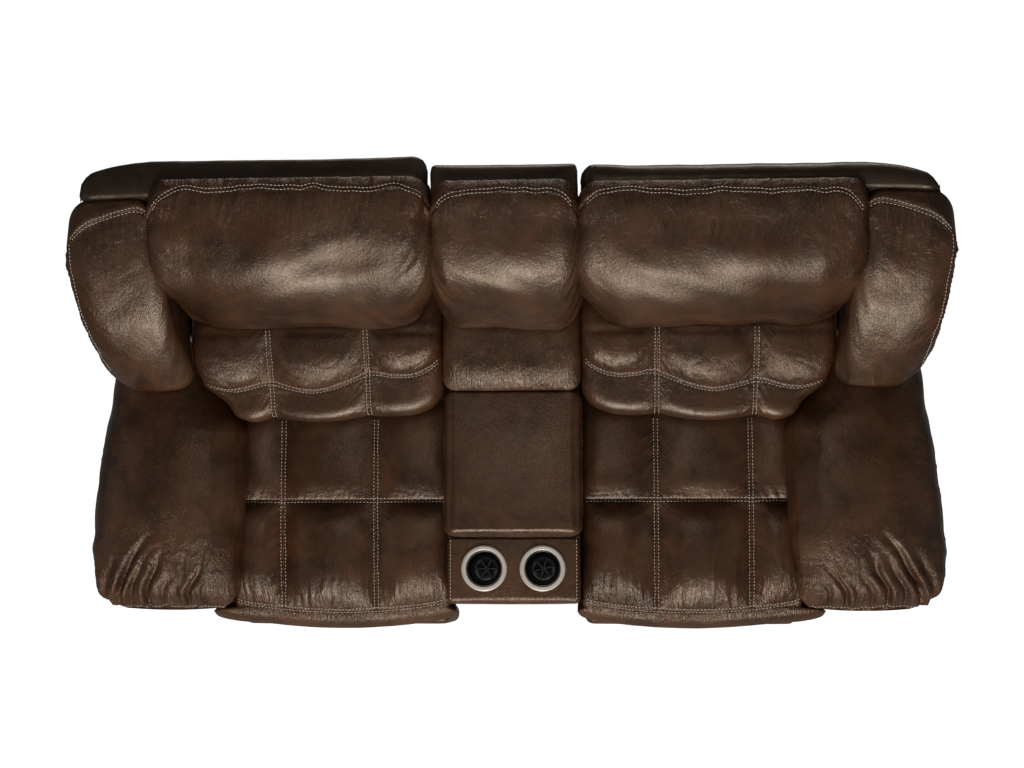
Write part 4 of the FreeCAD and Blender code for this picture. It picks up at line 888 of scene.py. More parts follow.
def makeLumbar(name, side, seed):
    w = lumbarSizes

    def held(x, q):
        return (np.abs(q - 3) < 0.05) | (q < 0.9) | (q > 4.2) | ((toSeams(x, w["seams"]) < 6) & (q > 1))

    def detail(x, q, run):
        crossRun = run - pickRow(q, run, 3)
        amount = doubleSeam(crossRun) * ((q > 2) & (q < 4))
        creased = 0.8 * bell(crossRun, 30) + 0.4 * ((q > 3) & (q < 4.4))
        face = ease(q, 1.1, 1.5) * (q < 4.4)
        for k, s in enumerate(w["seams"]):
            beside = puckers(run, x - s, seed + 11 * k, *w["seamPuckers"])
            amount = amount + (doubleSeam(x - s) + beside) * face
            creased = creased + 0.7 * bell(x - s, 26) * face
        amount = amount + puckers(x, crossRun, seed + 31, *w["upperPuckers"]) * ((q > 3) & (q < 4.2))
        amount = amount + puckers(x, crossRun, seed + 37, *w["lowerPuckers"]) * ((q > 2) & (q < 3))
        slanted = creases(x / 46 + run / 60, run / 30 - x / 90, seed + 50)
        amount = amount + w["slanted"] * slanted * ((q > 3) & (q < 4.3)) * bell(crossRun, 110)
        return amount, creased, 0.3 * bell(crossRun, 40)

    pad = makePad(name + "_lumbarCushion", w, lumbarShape, lumbarCorners(np.array([430.0])), *stationsFor(w),
                  held, detail, cushion(side, name + "_back", name + "_lumbar_cushion", 0.85, 3.0))
    lines = [line for s in w["seams"] for line in columnStitches(pad, s, 1.5, 4.1)]
    lines += rowStitches(pad, w["inner"] + 8, w["outer"] - 12, 3.0)
    makeStitches(name + "_lumbarStitching", lines, name + "_back")


headSizes = {
    "low": 717.0, "endRadius": 44.0, "rounds": [8, 46, 84, 30, 12, 5, 5],
    "steps": [20, 6, 2.9, 2.6, 5, 9, 16], "coarseSteps": [40, 14, 9, 9, 12, 20, 40],
    "stuffing": {"pressure": 4.0, "spare": 0.02, "cap": 14.0, "smooth": 3},
    "side": {"inner": 163.0, "outer": 784.0, "droop": (18, 40), "flare": 26},
    "middle": {"inner": -161.5, "outer": 161.5, "droop": (28, 28), "flare": 0},
    "shift": {"left": 8, "right": -9, "console": -4},
    "gather": 1.9, "broad": 5.0, "endFolds": 3.0,
}


def stitchWave(x, place, seed):
    # how far the stitch wanders along the surface, with drooping ends
    gaps = (x - place["inner"], place["outer"] - x)
    ends = [d * np.clip(1 - gap / 92, 0, 1) ** 2 for d, gap in zip(place["droop"], gaps)]
    return 6 * layered(x / 60, x * 0, seed + 2, 2) + 3 * lattice(x / 23, x * 0, seed + 9) - ends[0] - ends[1]


def makeHead(name, side, body, place, seed):
    w = headSizes
    inner, outer, shift = place["inner"], place["outer"], w["shift"][name]

    def corners(x):
        # the section at x: a soft roll below, the long face, and a lip over the back's top edge
        lift = 6 * layered(x / 70, x * 0, seed, 2)
        low = 16 * layered(x / 150, x * 0, seed + 4, 2)
        end = np.clip(1 - np.minimum(x - inner, outer - x) / (0.2 * (outer - inner)), 0, 1) ** 2
        return [(rakeY(w["low"], rake["frame"]), w["low"] + 6 * end), (206 + 26 * end, w["low"] + 6 * end),
                (170 + low + 42 * end, 785 + 30 * end), (396 + shift + lift - 4 * end, 1012 - 6 * end),
                (477 + shift, 1003), (470 + shift, 991), (rakeY(985, rake["frame"]), 985)]

    def shape(x, q):
        # the section with rounded ends, its ends bowed outward by belly * ((x - middle) / half) ^ 3
        swells = [0, 8, 31 + 12 * lattice(x / 170, x * 0, seed + 9), 4, 0, 0, 0]
        loops = outline(corners(x), w["rounds"], swells, len(x), q)
        loops = shrunk(loops, roundedEnd(np.minimum(x - inner, outer - x), w["endRadius"]) * 0.9)
        belly = 9 * np.sin(np.pi * np.clip(loops[..., 1] - 740, 0, 250) / 250)
        belly = belly - place["flare"] * (1 - ease(loops[..., 1], 760, 900))
        bow = belly * ((x - (inner + outer) / 2) / ((outer - inner) / 2))[:, None] ** 3
        return np.stack([x[:, None] + bow, loops[..., 0], loops[..., 1]], axis=-1)

    def held(x, q):
        return (np.abs(q - 3.5) < 0.12) | (q < 0.8) | (q > 3.6)

    def detail(x, q, run):
        seamRun = run - pickRow(q, run, 3.5) - stitchWave(x, place, seed)
        near = (q > 2) & (q < 4.1)
        below, above = np.clip(-seamRun - 5, 0, None), np.clip(seamRun - 5, 0, None)
        fan = x + 0.35 * below * lattice(x / 60, x * 0, seed + 20)
        gather = twoRidges(fan, below, seed + 5, (15, 110), (8, 60), (1.5, 0.8))
        reach = 48 + 30 * lattice(x / 30, x * 0, seed + 8)
        amount = doubleSeam(seamRun) * near
        amount = amount + w["gather"] * gather * bell(below, reach, 1.4) * ease(-seamRun, 3, 10) * near
        amount = amount + 2.0 * lattice(x / 10, above / 40, seed + 12) * ease(seamRun, 3, 9) * near
        broad = w["broad"] * layered(x / 150 + run / 190, run / 105, seed + 40, 2)
        soft = creases(x / 70 + 0.5 * broad, run / 34 + 0.6 * broad, seed + 44)
        face = ease(q, 1.2, 1.7) * (q < 3.45)
        amount = amount + (1.2 * broad + 0.6 * soft * bell(below, 130)) * face
        end = np.minimum(x - inner, outer - x)
        folds = ridges((run + 0.5 * end) / 30, end / 90, seed + 60) * bell(end, 52) * w["endFolds"]
        creased = bell(below, 70) * near + 0.5 * bell(end, 70)
        return amount + folds * face, creased, bell(below, 62) * near

    node = name + "_head_cushion"
    stations = endStations(inner, outer, w["endRadius"], [], 3.2, 16)
    coarse = endStations(inner, outer, w["endRadius"], [], 10, 5)
    pad = makePad(name + "_headCushion", w, shape, corners(np.array([(inner + outer) / 2])), stations, coarse,
                  held, detail, cushion(side, body, node, 0.85, 5.0))
    wave = stitchWave(np.linspace(inner + 16, outer - 14, 300), place, seed)
    makeStitches(name + "_headStitching", rowStitches(pad, inner + 16, outer - 14, 3.5, wave), body)


wingSizes = {
    "innerY": (50, 380), "innerX": (738, 778), "outerY": (50, 190, 320, 450), "outerX": (934, 966, 979, 972),
    "span": 200.0, "rounds": [8, 18, 40, 20, 8], "swells": [0, 0, 42, 0, 0],
    "steps": [20, 6, 3.0, 2.6, 16], "coarseSteps": [40, 14, 10, 9, 40],
    "stuffing": {"pressure": 4.0, "spare": 0.015, "cap": 9.0, "smooth": 3},
    "gather": 2.4, "broad": 1.8, "bottomFolds": 1.6, "edgeFolds": 2.2,
}


def wingCorners(u):
    # the section at a share u across the wing: a straight bottom, a full front and a crest
    crest = 424 - 64 * u ** 1.6
    front = 50 + 26 * np.abs(2 * u - 1) ** 2.5
    return [(rakeY(670, 55.6), 671), (62, 671), (front, 706), (crest, 980), (447, 979)]


def wingShape(u, q):
    # the sections carried from the inner edge to the outer one, which are curves over the depth
    w = wingSizes
    loops = outline(wingCorners(u), w["rounds"], w["swells"], len(u), q)
    distance = np.minimum(u, 1 - u) * w["span"]
    loops = shrunk(loops, np.where(u < 0.5, roundedEnd(distance, 44) * 0.8, roundedEnd(distance, 66) * 0.85))
    inner = np.interp(loops[..., 0], w["innerY"], w["innerX"])
    outer = smoothTable(loops[..., 0], w["outerY"], w["outerX"])
    return np.stack([inner + (outer - inner) * u[:, None], loops[..., 0], loops[..., 1]], axis=-1)


def makeWing(name, side, seed):
    w = wingSizes

    def held(u, q):
        return (np.abs(q - 3) < 0.12) | (q < 0.9) | (q > 3.2)

    def detail(u, q, run):
        x = u * w["span"]
        seamRun, bottom = run - pickRow(q, run, 3), run - pickRow(q, run, 2)
        near = (q > 2) & (q < 3.7)
        below = np.clip(-seamRun - 5, 0, None)
        fan = x + 0.3 * below * lattice(x / 50, x * 0, seed)
        gather = twoRidges(fan, below, seed + 5, (19, 110), (9, 60), (1.5, 0.8))
        amount = doubleSeam(seamRun) * near
        amount = amount + w["gather"] * gather * bell(below, 60, 1.3) * ease(-seamRun, 3, 10) * near
        broad = w["broad"] * layered(x / 80 + run / 200, run / 85, seed + 40, 2)
        soft = creases(x / 52 + 0.5 * broad, run / 60 + 0.4 * broad, seed + 44)
        face = ease(q, 1.3, 1.8) * (q < 3)
        amount = amount + (1.5 * broad + 0.6 * soft) * face
        folds = w["bottomFolds"] * 1.5 * ridges(x / 22 + bottom / 90, bottom / 100, seed + 70)
        edge = ridges(bottom / 22 + (w["span"] - x) / 40, x / 80, seed + 75) * bell(w["span"] - x, 34)
        amount = amount + (folds * bell(bottom - 20, 40) + w["edgeFolds"] * 1.5 * edge) * face
        return amount, bell(below, 70) * near + 0.1 * face, bell(below, 50) * near

    stations, coarse = [endStations(0, w["span"], 30, [], step, count) / w["span"] for step, count in
                        ((3.0, 9), (10, 4))]
    pad = makePad(name + "_wing", w, wingShape, wingCorners(np.array([0.5])), stations, coarse, held, detail,
                  cushion(side, name + "_back", name + "_wing", 0.8, 3.0))
    lines = rowStitches(pad, 0.03, 0.93, 3.0)
    lines.append(stitchRow(*follow(pad, np.full(200, 0.94), np.linspace(2.1, 2.97, 200))))
    makeStitches(name + "_wingStitching", lines, name + "_back")


# stations run from the front of the arm to the back; each pleat's row is as pleats says
pillowSizes = {
    "front": -452.0, "rear": 204.0, "low": 501.5, "top": 646.0,
    "shares": (0.0, 0.03, 0.10, 0.22, 0.36, 0.5, 0.66, 0.74, 0.86, 1.0),
    "inner": (686, 677, 668, 660, 653, 650, 650, 688, 734, 742),
    "outer": (952, 986, 1004, 1007, 1000, 991, 978, 970, 962, 944),
    "height": (0.38, 0.56, 0.76, 0.93, 1.03, 1.07, 1.04, 0.98, 0.93, 0.86),
    "rounds": [14, 14, 44, 70, 74, 46], "steps": [12, 5, 3, 3, 3, 5], "coarseSteps": [30, 12, 10, 10, 10, 12],
    "stuffing": {"pressure": 3.0, "spare": 0.015, "cap": 12.0, "smooth": 3},
    "pleats": ((130, -0.62, 165, 18.0, 5.5), (52, -0.5, 125, 16.0, 5.0), (-48, -0.6, 90, 12.0, 4.5),
               (96, -0.55, 120, 9.0, 4.5), (8, -0.5, 70, 9.0, 4.5), (176, -0.6, 130, 9.0, 6.5),
               (-92, -0.5, 60, 6.0, 4.0), (-18, -0.4, 50, 5.0, 3.5), (112, -0.4, 60, 5.0, 3.5)),
    "gather": 1.6, "crinkle": 1.7, "broad": 2.9, "rearFolds": 2.0, "sideFolds": 1.8,
}


def pillowSection(t):
    # the inner edge, the outer edge and the height at a share t of the length
    w = pillowSizes
    inner, outer, height = [smoothTable(t, w["shares"], w[key], 0.03) for key in ("inner", "outer", "height")]
    return inner, outer, w["low"] + (w["top"] - w["low"]) * height


def pillowCorners(t):
    # the section's corners, which space its rows
    low = pillowSizes["low"]
    inner, outer, rise = pillowSection(t)
    return [(np.minimum(outer - 6, 928.0), low), (np.maximum(inner + 8, 709.0), low), (inner - 8, low + 66),
            (inner + 50, rise), (outer - 56, rise), (outer + 26, low + 60)]


def pillowShape(t, q):
    # a round of x = middle + half |cos|^0.8, z = belly + (rise - belly) |sin|^0.85 over a flat bottom
    w = pillowSizes
    inner, outer, rise = [v[:, None] for v in pillowSection(t)]
    belly = w["low"] + 0.42 * (rise - w["low"])
    angle = np.pi * (1.2 - 1.4 * np.where(q < 0.25, q + 5, q - 1) / 5)
    c, s = np.cos(angle), np.sin(angle)
    x = (inner + outer) / 2 + ((outer - inner) / 2 + 7) * np.sign(c) * np.abs(c) ** 0.8
    z = np.where(s > 0, belly + (rise - belly) * np.abs(s) ** 0.85,
                 belly - (belly - w["low"]) * np.clip(np.abs(s) / np.sin(0.2 * np.pi), 0, 1))
    length = w["rear"] - w["front"]
    run = length * t
    loops = shrunk(np.stack([x, z], axis=-1), roundedEnd(run, 46) * 0.85 + roundedEnd(length - run, 40) * 0.8)
    return np.stack([loops[..., 0], (w["front"] + run)[:, None] + 0 * x, loops[..., 1]], axis=-1)


def makePillow(name, side, seed):
    w = pillowSizes
    length = w["rear"] - w["front"]

    def held(t, q):
        return (q < 1.2) | (q > 5.7) | (t < 0.004) | (t > 0.86)

    def detail(t, q, run):
        y = t * length
        across = run - pickRow(q, run, 3.5)
        shell = ease(q, 1.2, 1.6) * (1 - ease(q, 5.5, 5.9))
        angle = np.arctan2(across + 40, y + 40)
        radial = np.hypot(across + 40, y + 40)
        folds = lattice(angle * 5.5, radial / 120, seed) + 0.5 * lattice(angle * 11, radial / 70, seed + 1)
        amount = 2.0 * folds * bell(y, 130)
        table = [(start + 8 * np.sin(seed + 3 * k), *form) for k, (start, *form) in enumerate(w["pleats"])]
        bent = across + 7 * lattice(y / 42, across / 200, seed + 90)
        amount = amount + pleats(bent, y - 12, table)
        gather = twoRidges(across, y, seed + 5, (15, 90), (8, 50), (1.5, 0.7))
        amount = amount + w["gather"] * gather * bell(y, 30, 1.5)
        fan = angle * 150 + 9 * lattice(radial / 60, angle * 3, seed + 14)
        crinkle = twoRidges(fan, radial, seed + 15, (13, 46), (7, 26), (1.3, 0.8))
        amount = amount + w["crinkle"] * crinkle * bell(y - 60, 100)
        broad = w["broad"] * layered(across / 130, y / 150, seed + 40, 2)
        soft = creases(across / 60 + 0.6 * broad + y / 240, y / 44 + 0.6 * broad, seed + 44)
        amount = amount + 1.8 * broad + 1.2 * soft * bell(y - 60, 130)
        rear = layered(across / 40 + y / 120, y / 60, seed + 80) * ease(y, 380, 520)
        beside = ridges(y / 24 + across / 300, across / 90, seed + 84) * bell(across - 190, 60)
        beside = beside * ease(y, 60, 160) * (1 - ease(y, 330, 460))
        amount = amount + w["rearFolds"] * rear + w["sideFolds"] * beside
        return amount * shell, (bell(y, 150) + 0.25) * shell, bell(y, 90) * shell

    stations, coarse = [endStations(0, length, 46, [], step, count) / length for step, count in
                        ((3.0, 16), (11, 6))]
    pad = makePad(name + "_armPillow", w, pillowShape, pillowCorners(np.array([0.4])), stations, coarse, held,
                  detail, cushion(side, "base", name + "_arm_pillow", 0.8, 6.0))
    front = stitchRow(*follow(pad, np.full(200, 0.008), np.linspace(1.5, 5.6, 200)))
    makeStitches(name + "_pillowStitching", [front], "base")


for number, (name, side) in enumerate(sides):
    makeLumbar(name, side, 17 + 50 * number)
    makeHead(name, side, name + "_back", headSizes["side"], 23 + 50 * number)
    makeWing(name, side, 31 + 50 * number)
    makePillow(name, side, 41 + 50 * number)
makeHead("console", 1, "base", headSizes["middle"], 77)
print("cushions made")

plainBoard = {"step": 7, "endRadius": 6.0, "wrinkle": 0.7, "creased": 0.15, "gathered": 0.0, "fill": None,
              "side": 1, "axis": "x", "nodes": [], "swells": [0, 0, 0, 0], "material": panelFinish,
              "slot": "panel_leather"}
asCushion = {"material": cushionFinish, "slot": "cushion_leather"}


def makeBoard(name, look):
    # A padded board. Its outline lies in the plane of y and z with stations along x, or of x and z with
    # stations along y; its faces swell by 1 - |2 s - 1|^4 between the ends, and a sweep draws one end in.
    w = {**plainBoard, **look}
    first, last = w["ends"]
    places = [(np.float64(a), np.float64(b)) for a, b in w["corners"]]
    w["steps"] = [w["step"]] * len(places)

    def shape(s, q):
        swell = 1 - np.abs(2 * (s - first) / (last - first) - 1) ** 4
        loops = outline(places, w["rounds"], [v * swell for v in w["swells"]], len(s), q)
        loops = shrunk(loops, roundedEnd(np.minimum(s - first, last - s), w["endRadius"]))
        if "sweep" in w:
            depth = loops[..., 0] - loops[..., 0].min(axis=1, keepdims=True)
            turn = roundedEnd(last - s, w["sweep"][1]) / w["sweep"][1] * w["sweep"][0]
            loops[..., 0] -= turn[:, None] * depth / depth.max(axis=1, keepdims=True)
        along = s[:, None] + 0 * loops[..., 0]
        order = (along, loops[..., 0]) if w["axis"] == "x" else (loops[..., 0], along)
        return np.stack([*order, loops[..., 1]], axis=-1)

    def detail(s, q, run):
        end = np.minimum(s - first, last - s)
        amount = w["wrinkle"] * layered(s / 70, run / 60, w["seed"])
        amount = amount + w["wrinkle"] * 0.8 * lattice(run / 14, end / 30, w["seed"] + 5) * bell(end, 24)
        return amount, np.full(run.shape, w["creased"]), np.full(run.shape, w["gathered"])

    stations = endStations(first, last, w["endRadius"], [], w["step"], 5)
    return makePad(name, w, shape, places, stations, None, None, detail,
                   {"side": w["side"], "material": w["material"], "body": w["body"], "fill": w["fill"],
                    "replaces": w["nodes"], "bulge": 0.5, "slot": w["slot"]})


def leaning(z0, z1, rear, front):
    # corners of a board that leans with the back, between two heights and two depths
    return [(rakeY(z0, rear), z0), (rakeY(z0, front), z0), (rakeY(z1, front), z1), (rakeY(z1, rear), z1)]


consoleBoards = {
    "console_lid": {
        "body": "lid", "nodes": ["console_lid"], "corners": [(47, 568), (-283, 568), (-285, 613), (62, 618)],
        "rounds": [8, 12, 26, 8], "swells": [0, 2, 7, 0], "ends": (-164.5, 164.5), "step": 4, "endRadius": 26,
        "seed": 90, "wrinkle": 0.8, "fill": 0.7, "creased": 0.0, **asCushion},
    "console_lumbarCushion": {
        "body": "base", "nodes": ["console_lumbar_cushion"],
        "corners": [(rakeY(608, 61), 608), (110, 612), (47, 650), (150, 706), (rakeY(694, 61), 694)],
        "rounds": [8, 26, 16, 30, 8], "swells": [0, 0, 5, 6, 0], "ends": (-162, 162), "step": 3.2,
        "endRadius": 30, "seed": 93, "wrinkle": 1.4, "fill": 0.8, "creased": 0.5, "gathered": 0.7,
        **asCushion},
    "console_cupPanel": {
        "body": "base", "nodes": ["console_cup_panel"],
        "corners": [(-289, 523), (-439, 523), (-442, 572), (-287.5, 580)], "rounds": [3, 8, 18, 3],
        "swells": [0, 2, 3, 0], "ends": (-157, 157), "step": 3.5, "endRadius": 12, "seed": 95, "wrinkle": 0.6,
        "creased": 0.5, **asCushion},
    "console_front": {
        "body": "base", "nodes": ["console_front_panel"],
        "corners": [(-420, 76), (-434, 76), (-434, 521), (-420, 521)], "rounds": [3, 4, 4, 3],
        "swells": [0, 3, 0, 0], "ends": (-156.5, 156.5), "seed": 96, "fill": 0.3},
    "console_deckCover": {
        "body": "base", "corners": [(249, 552.2), (27, 552.2), (27, 553.6), (249, 553.6)],
        "rounds": [0.5, 0.5, 0.5, 0.5], "ends": (-150, 150), "seed": 98, "step": 20, "endRadius": 1,
        "wrinkle": 0.0},
    "console_backPad": {
        "body": "base", "nodes": ["console_back_frame"], "corners": leaning(320, 986, -10, 61),
        "rounds": [10, 10, 16, 22], "swells": [0, 0, 2, 3], "ends": (-160, 160), "seed": 97, "endRadius": 12,
        "fill": 0.4, "wrinkle": 1.0},
}


def sideBoards(name, side):
    # the boards of one side, as the console's are
    back = name + "_back"
    band = [(rakeY(923.5, 0.4), 923.5), (rakeY(923.5, 55), 923.5), (rakeY(988, 52), 988),
            (rakeY(990, -20 + 12 * side), 990)]
    return {
        "_armFront": {
            "body": "base", "nodes": [name + "_arm_front_panel"], "seed": 101, "fill": 0.3,
            "corners": [(-425.5, 26), (-440, 26), (-440, 499), (-425.5, 499)], "rounds": [3, 5, 5, 3],
            "swells": [0, 5, 0, 0], "ends": (693, 930)},
        "_armCover": {
            "body": "base", "nodes": [name + "_arm_side_panel"], "seed": 104, "axis": "y",
            "corners": [(931, 26), (911, 26), (911, 499), (931, 499)], "rounds": [6, 3, 3, 6],
            "swells": [0, 0, 0, 2], "ends": (-425, 329)},
        "_armInner": {
            "body": "base", "nodes": [name + "_arm_inner_board"], "seed": 105, "axis": "y",
            "corners": [(707, 76), (692.5, 76), (692.5, 499), (707, 499)], "rounds": [3, 4, 4, 3],
            "ends": (-424.5, 329.5)},
        "_footrestPad": {
            "body": name + "_footrest", "nodes": [name + "_footrest_pad"], "seed": 101, "fill": 0.6,
            "corners": [(-447, 97), (-492, 97), (-492, 374), (-447, 374)], "rounds": [8, 20, 20, 8],
            "swells": [0, 3, 0, 0], "ends": (167, 685), "endRadius": 20, "wrinkle": 1.0, **asCushion},
        "_backLower": {
            "body": back, "corners": leaning(294, 668, 0.4, 20), "rounds": [6, 4, 4, 4],
            "swells": [0, 0, 0, 2], "ends": (177, 675), "fill": 0.3, "seed": 107},
        "_backSkirt": {
            "body": back, "corners": leaning(386, 509, 60.6, 65), "rounds": [1, 1, 2, 1],
            "swells": [0, 1, 0, 0], "ends": (178, 674), "step": 12, "endRadius": 2, "seed": 106},
        "_backUpper": {
            "body": back, "nodes": [name + "_back_panel"], "corners": leaning(668.5, 922, 0.4, 20),
            "rounds": [4, 4, 4, 4], "swells": [0, 0, 0, 2], "ends": (167, 924), "fill": 0.3, "seed": 108},
        "_backWing": {
            "body": back, "corners": leaning(668.5, 922, 20.5, 55), "rounds": [4, 4, 4, 4],
            "ends": (762, 924), "seed": 109},
        "_backBand": {
            "body": back, "corners": band, "rounds": [4, 4, 14, 24], "swells": [0, 0, 3, 5],
            "ends": (168, 940), "endRadius": 30, "fill": 0.4, "step": 5, "wrinkle": 1.6, "creased": 0.5,
            "sweep": (62, 190), "seed": 110},
    }


def plainSolid(name, points, faces):
    # a mesh object from points in millimetres
    mesh = bpy.data.meshes.new(name)
    mesh.from_pydata((np.array(points) / 1000).tolist(), [], faces)
    mesh.update()
    return linked(name, mesh)


def prism(name, ring, low, high, axis):
    # a straight solid over a closed outline of points, along x or z
    n = len(ring)
    k = np.arange(n)
    ends = [np.insert(ring, 2 if axis == "z" else 0, level, axis=1) for level in (low, high)]
    walls = np.stack([k, (k + 1) % n, n + (k + 1) % n, n + k], axis=1)
    return plainSolid(name, np.concatenate(ends), [k[::-1].tolist(), (k + n).tolist()] + walls.tolist())


def cutOut(piece, cutter):
    # the cutter's shape taken out of the piece, as finished mesh
    difference = piece.modifiers.new("cut", "BOOLEAN")
    difference.operation = "DIFFERENCE"
    difference.solver = "EXACT"
    difference.object = cutter
    result = bpy.data.meshes.new_from_object(piece.evaluated_get(bpy.context.evaluated_depsgraph_get()))
    piece.modifiers.clear()
    piece.data = result
    bpy.data.objects.remove(cutter)


def lathe(name, centre, profile, turns, slot, nodes):
    # a round piece on the base: a closed profile of radius and height, turned about the centre
    turn = np.arange(turns) * 2 * np.pi / turns
    profile = np.array(profile, float)
    points = np.stack([centre[0] + profile[None, :, 0] * np.cos(turn)[:, None],
                       centre[1] + profile[None, :, 0] * np.sin(turn)[:, None],
                       profile[None, :, 1] + 0 * turn[:, None]], axis=-1)
    m = len(profile)
    i, j = np.meshgrid(np.arange(turns), np.arange(m), indexing="ij")
    nextI, nextJ = (i + 1) % turns, (j + 1) % m
    faces = np.stack([i * m + j, nextI * m + j, nextI * m + nextJ, i * m + nextJ], axis=-1).reshape(-1, 4)
    piece = plainSolid(name, points.reshape(-1, 3), faces.tolist())
    piece.data.polygons.foreach_set("use_smooth", np.ones(len(piece.data.polygons), bool))
    piece.data.materials.append(plainFinish[slot])
    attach(piece, "base")
    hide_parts(*nodes)
    return piece


holder = {"aside": 69, "y": -358, "hole": 45.5, "edge": 149.0, "turns": 96,
          "slotHalf": (24.5, 1.3), "slotDepth": (503.2, 507),
          "ring": [(42.2, 579), (53.5, 579), (54.3, 580.2), (53.6, 583.4), (52, 584.6), (44.4, 584.8),
                   (42.6, 583.6)],
          "liner": [(1.5, 502), (41, 502), (42, 504), (42, 583), (39.6, 583.2), (39.2, 512), (36.5, 508.5),
                    (31, 508.2), (29.5, 505.5), (27, 505.2), (1.5, 505.2)]}
latchHole = {"y": -240, "z": 400, "halfY": 60, "halfZ": 39, "power": 0.45, "x": (890, 950)}


def makeHolder(cupPanel, way):
    # the hole in the panel, a bright ring over it and a black cup with three crossed slots in its bottom
    centre = np.array([way * holder["aside"], holder["y"]])
    turn = np.linspace(0, 2 * np.pi, 64, False)
    ring = centre + holder["hole"] * np.stack([np.cos(turn), np.sin(turn)], axis=1)
    cutOut(cupPanel, prism("hole", ring, 500, 600, "z"))
    lathe("cup_ring%d" % (way + 2), centre, holder["ring"], holder["turns"], "bright_ring", ["cup_rings"])
    liner = lathe("cup_liner%d" % (way + 2), centre, holder["liner"], holder["turns"], "black_plastic",
                  ["cup_liners"])
    for third in range(3):
        angle = 0.25 * (way > 0) + third * np.pi / 3
        along, across = np.array([np.cos(angle), np.sin(angle)]), np.array([-np.sin(angle), np.cos(angle)])
        half = holder["slotHalf"]
        slot = [centre + a * half[0] * along + b * half[1] * across
                for a, b in ((-1, -1), (1, -1), (1, 1), (-1, 1))]
        cutOut(liner, prism("slot", np.array(slot), *holder["slotDepth"], "z"))


def sewCupPanel(pad):
    # a row of stitches along each end of the cup panel
    places = np.linspace(2.1, 2.97, 90)
    ends = [follow(pad, np.full(90, way * holder["edge"]), places) for way in (-1, 1)]
    makeStitches("console_cupStitching", [stitchRow(*end) for end in ends], "base")


for name, look in consoleBoards.items():
    pad = makeBoard(name, look)
    if name == "console_cupPanel":
        sewCupPanel(pad)
        for way in (-1, 1):
            makeHolder(pad["piece"], way)
for number, (name, side) in enumerate(sides):
    pads = {key: makeBoard(name + key, {**look, "side": side, "seed": look["seed"] + 20 * number})
            for key, look in sideBoards(name, side).items()}
    turn = np.linspace(0, 2 * np.pi, 48, False)
    bent = [np.sign(v) * np.abs(v) ** latchHole["power"] for v in (np.cos(turn), np.sin(turn))]
    ring = np.stack([latchHole["y"] + latchHole["halfY"] * bent[0],
                     latchHole["z"] + latchHole["halfZ"] * bent[1]], axis=1)
    low, high = sorted(side * x for x in latchHole["x"])
    cutOut(pads["_armCover"]["piece"], prism("hole", ring, low, high, "x"))
print("boards made")

view = {"place": (0.199, -0.404, 4.3), "focalPixels": 1570.0, "nadir": (598.0, 588.0), "width": 1024.0,
        "height": 768.0, "sensor": 36.0}


def placed(name, data, right, up, back, place):
    # an object whose axes and place are given
    holder = bpy.data.objects.new(name, data)
    bpy.context.scene.collection.objects.link(holder)
    holder.matrix_world = Matrix([[right[k], up[k], back[k], place[k]] for k in range(3)] + [[0, 0, 0, 1]])
    return holder


def makeCamera():
    # The camera looks almost straight down. The nadir is the pixel that is right under it, and that
    # pixel's ray is the world's downward line, which fixes the tilt and the turn.
    ray = np.array([view["nadir"][0] - view["width"] / 2, view["nadir"][1] - view["height"] / 2,
                    view["focalPixels"]])
    ray /= np.linalg.norm(ray)
    a = ray[0] * ray[2] / np.sqrt(1 - ray[0] ** 2)
    forward = np.array([-a, np.sqrt(1 - a * a - ray[2] ** 2), -ray[2]])
    right = np.cross(forward, [0, 1, 0])
    right /= np.linalg.norm(right)
    lens = bpy.data.cameras.new("camera")
    lens.sensor_width = view["sensor"]
    lens.lens = view["focalPixels"] / view["width"] * view["sensor"]
    up = np.cross(right, forward)
    bpy.context.scene.camera = placed("camera", lens, right, up, -forward, view["place"])


lamps = {
    "frontSoftbox": {"place": (-0.05, -3.9, 2.7), "aim": (0.0, 0.0, 0.6), "size": (2.2, 0.9), "power": 200,
                     "colour": (1.0, 0.96, 0.9)},
    "topLight": {"place": (0.0, 0.1, 3.3), "aim": (0.0, 0.0, 0.5), "size": (0.6, 0.5), "power": 6,
                 "colour": (1.0, 0.96, 0.9)},
    "rearFill": {"place": (0.4, 4.2, 1.1), "aim": (0.0, 0.0, 0.5), "size": (3.0, 1.2), "power": 95,
                 "colour": (1.0, 0.98, 0.95)},
    "leftFill": {"place": (-3.9, -0.6, 2.5), "aim": (0.0, 0.0, 0.5), "size": (2.8, 2.4), "power": 11,
                 "colour": (1, 1, 1)},
    "rightFill": {"place": (3.9, -0.6, 2.5), "aim": (0.0, 0.0, 0.5), "size": (2.8, 2.4), "power": 9,
                  "colour": (1, 1, 1)},
}


def areaLight(name, look):
    # a rectangular lamp that faces its aim
    lamp = bpy.data.lights.new(name, "AREA")
    lamp.shape = "RECTANGLE"
    lamp.size, lamp.size_y = look["size"]
    lamp.energy = look["power"]
    lamp.color = look["colour"]
    ahead = np.array(look["aim"]) - np.array(look["place"])
    ahead /= np.linalg.norm(ahead)
    right = np.cross(ahead, [0, 0, 1] if abs(ahead[2]) < 0.95 else [0, 1, 0])
    right /= np.linalg.norm(right)
    placed(name, lamp, right, np.cross(right, ahead), -ahead, look["place"])


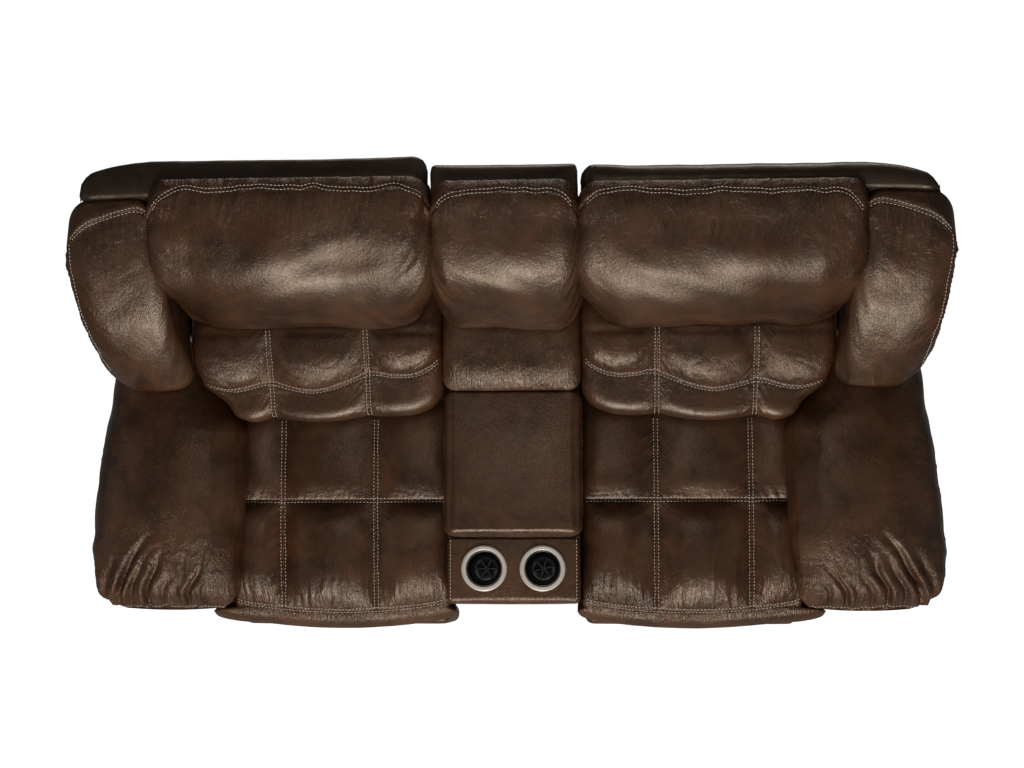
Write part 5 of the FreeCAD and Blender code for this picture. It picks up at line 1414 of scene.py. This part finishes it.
def cameraOnly(tree, seen, unseen, output):
    # one shader for the camera's own rays and another for all the rest
    choice = add(tree, "ShaderNodeMixShader")
    rays = add(tree, "ShaderNodeLightPath").outputs
    for source, socket in ((rays["Is Camera Ray"], 0), (unseen.outputs[0], 1), (seen.outputs[0], 2)):
        tree.links.new(source, choice.inputs[socket])
    tree.links.new(choice.outputs[0], tree.nodes[output].inputs[0])


# under and edge give the box under the piece, a painted shade, where the camera's white glow fades out
stage = {"size": 30.0, "colour": (0.28, 0.28, 0.278, 1), "roughness": 0.9, "glow": 0.92, "under": (0.97, 0.4),
         "edge": 0.06, "sky": (0.93, 0.96, 1.0, 1), "skyStrength": 0.075}


def makeStage():
    # a pale floor that the camera sees white, save in a box under the piece, where the white glow is taken
    # away as painted shade and the floor shows its own grey with its cast shadow
    size = stage["size"]
    mesh = bpy.data.meshes.new("floor")
    corners = [(-size, -size, 0), (size, -size, 0), (size, size, 0), (-size, size, 0)]
    mesh.from_pydata(corners, [], [(0, 1, 2, 3)])
    material, tree, shader = newMaterial("paleFloor")
    shader.inputs["Base Color"].default_value = stage["colour"]
    shader.inputs["Roughness"].default_value = stage["roughness"]
    spot = add(tree, "ShaderNodeTexCoord").outputs["Object"]
    place = add(tree, "ShaderNodeSeparateXYZ", Vector=spot).outputs
    # painted shade: the camera's white glow fades to nothing over a box under the piece (|x| < 0.97, |y| <
    # 0.4), leaving the floor darker there
    edges = [remap(tree, maths(tree, "ABSOLUTE", place[k]), low, low + stage["edge"], 0.0, stage["glow"])
             for k, low in enumerate(stage["under"])]
    glow = add(tree, "ShaderNodeEmission", {"Color": (1, 1, 1, 1)}, Strength=maths(tree, "MAXIMUM", *edges))
    both = add(tree, "ShaderNodeAddShader")
    tree.links.new(shader.outputs[0], both.inputs[0])
    tree.links.new(glow.outputs[0], both.inputs[1])
    cameraOnly(tree, both, shader, "Material Output")
    linked("floor", mesh, material)
    world = bpy.data.worlds.new("studio")
    bpy.context.scene.world = world
    world.use_nodes = True
    tree = world.node_tree
    soft = tree.nodes["Background"]
    feed(tree, soft.inputs, (stage["sky"], stage["skyStrength"]))
    white = add(tree, "ShaderNodeBackground", {"Color": (1, 1, 1, 1), "Strength": 1.0})
    cameraOnly(tree, white, soft, "World Output")
    for name, look in lamps.items():
        areaLight(name, look)
    bpy.context.scene.view_settings.view_transform = "Standard"


makeCamera()
makeStage()
print("stage ready")
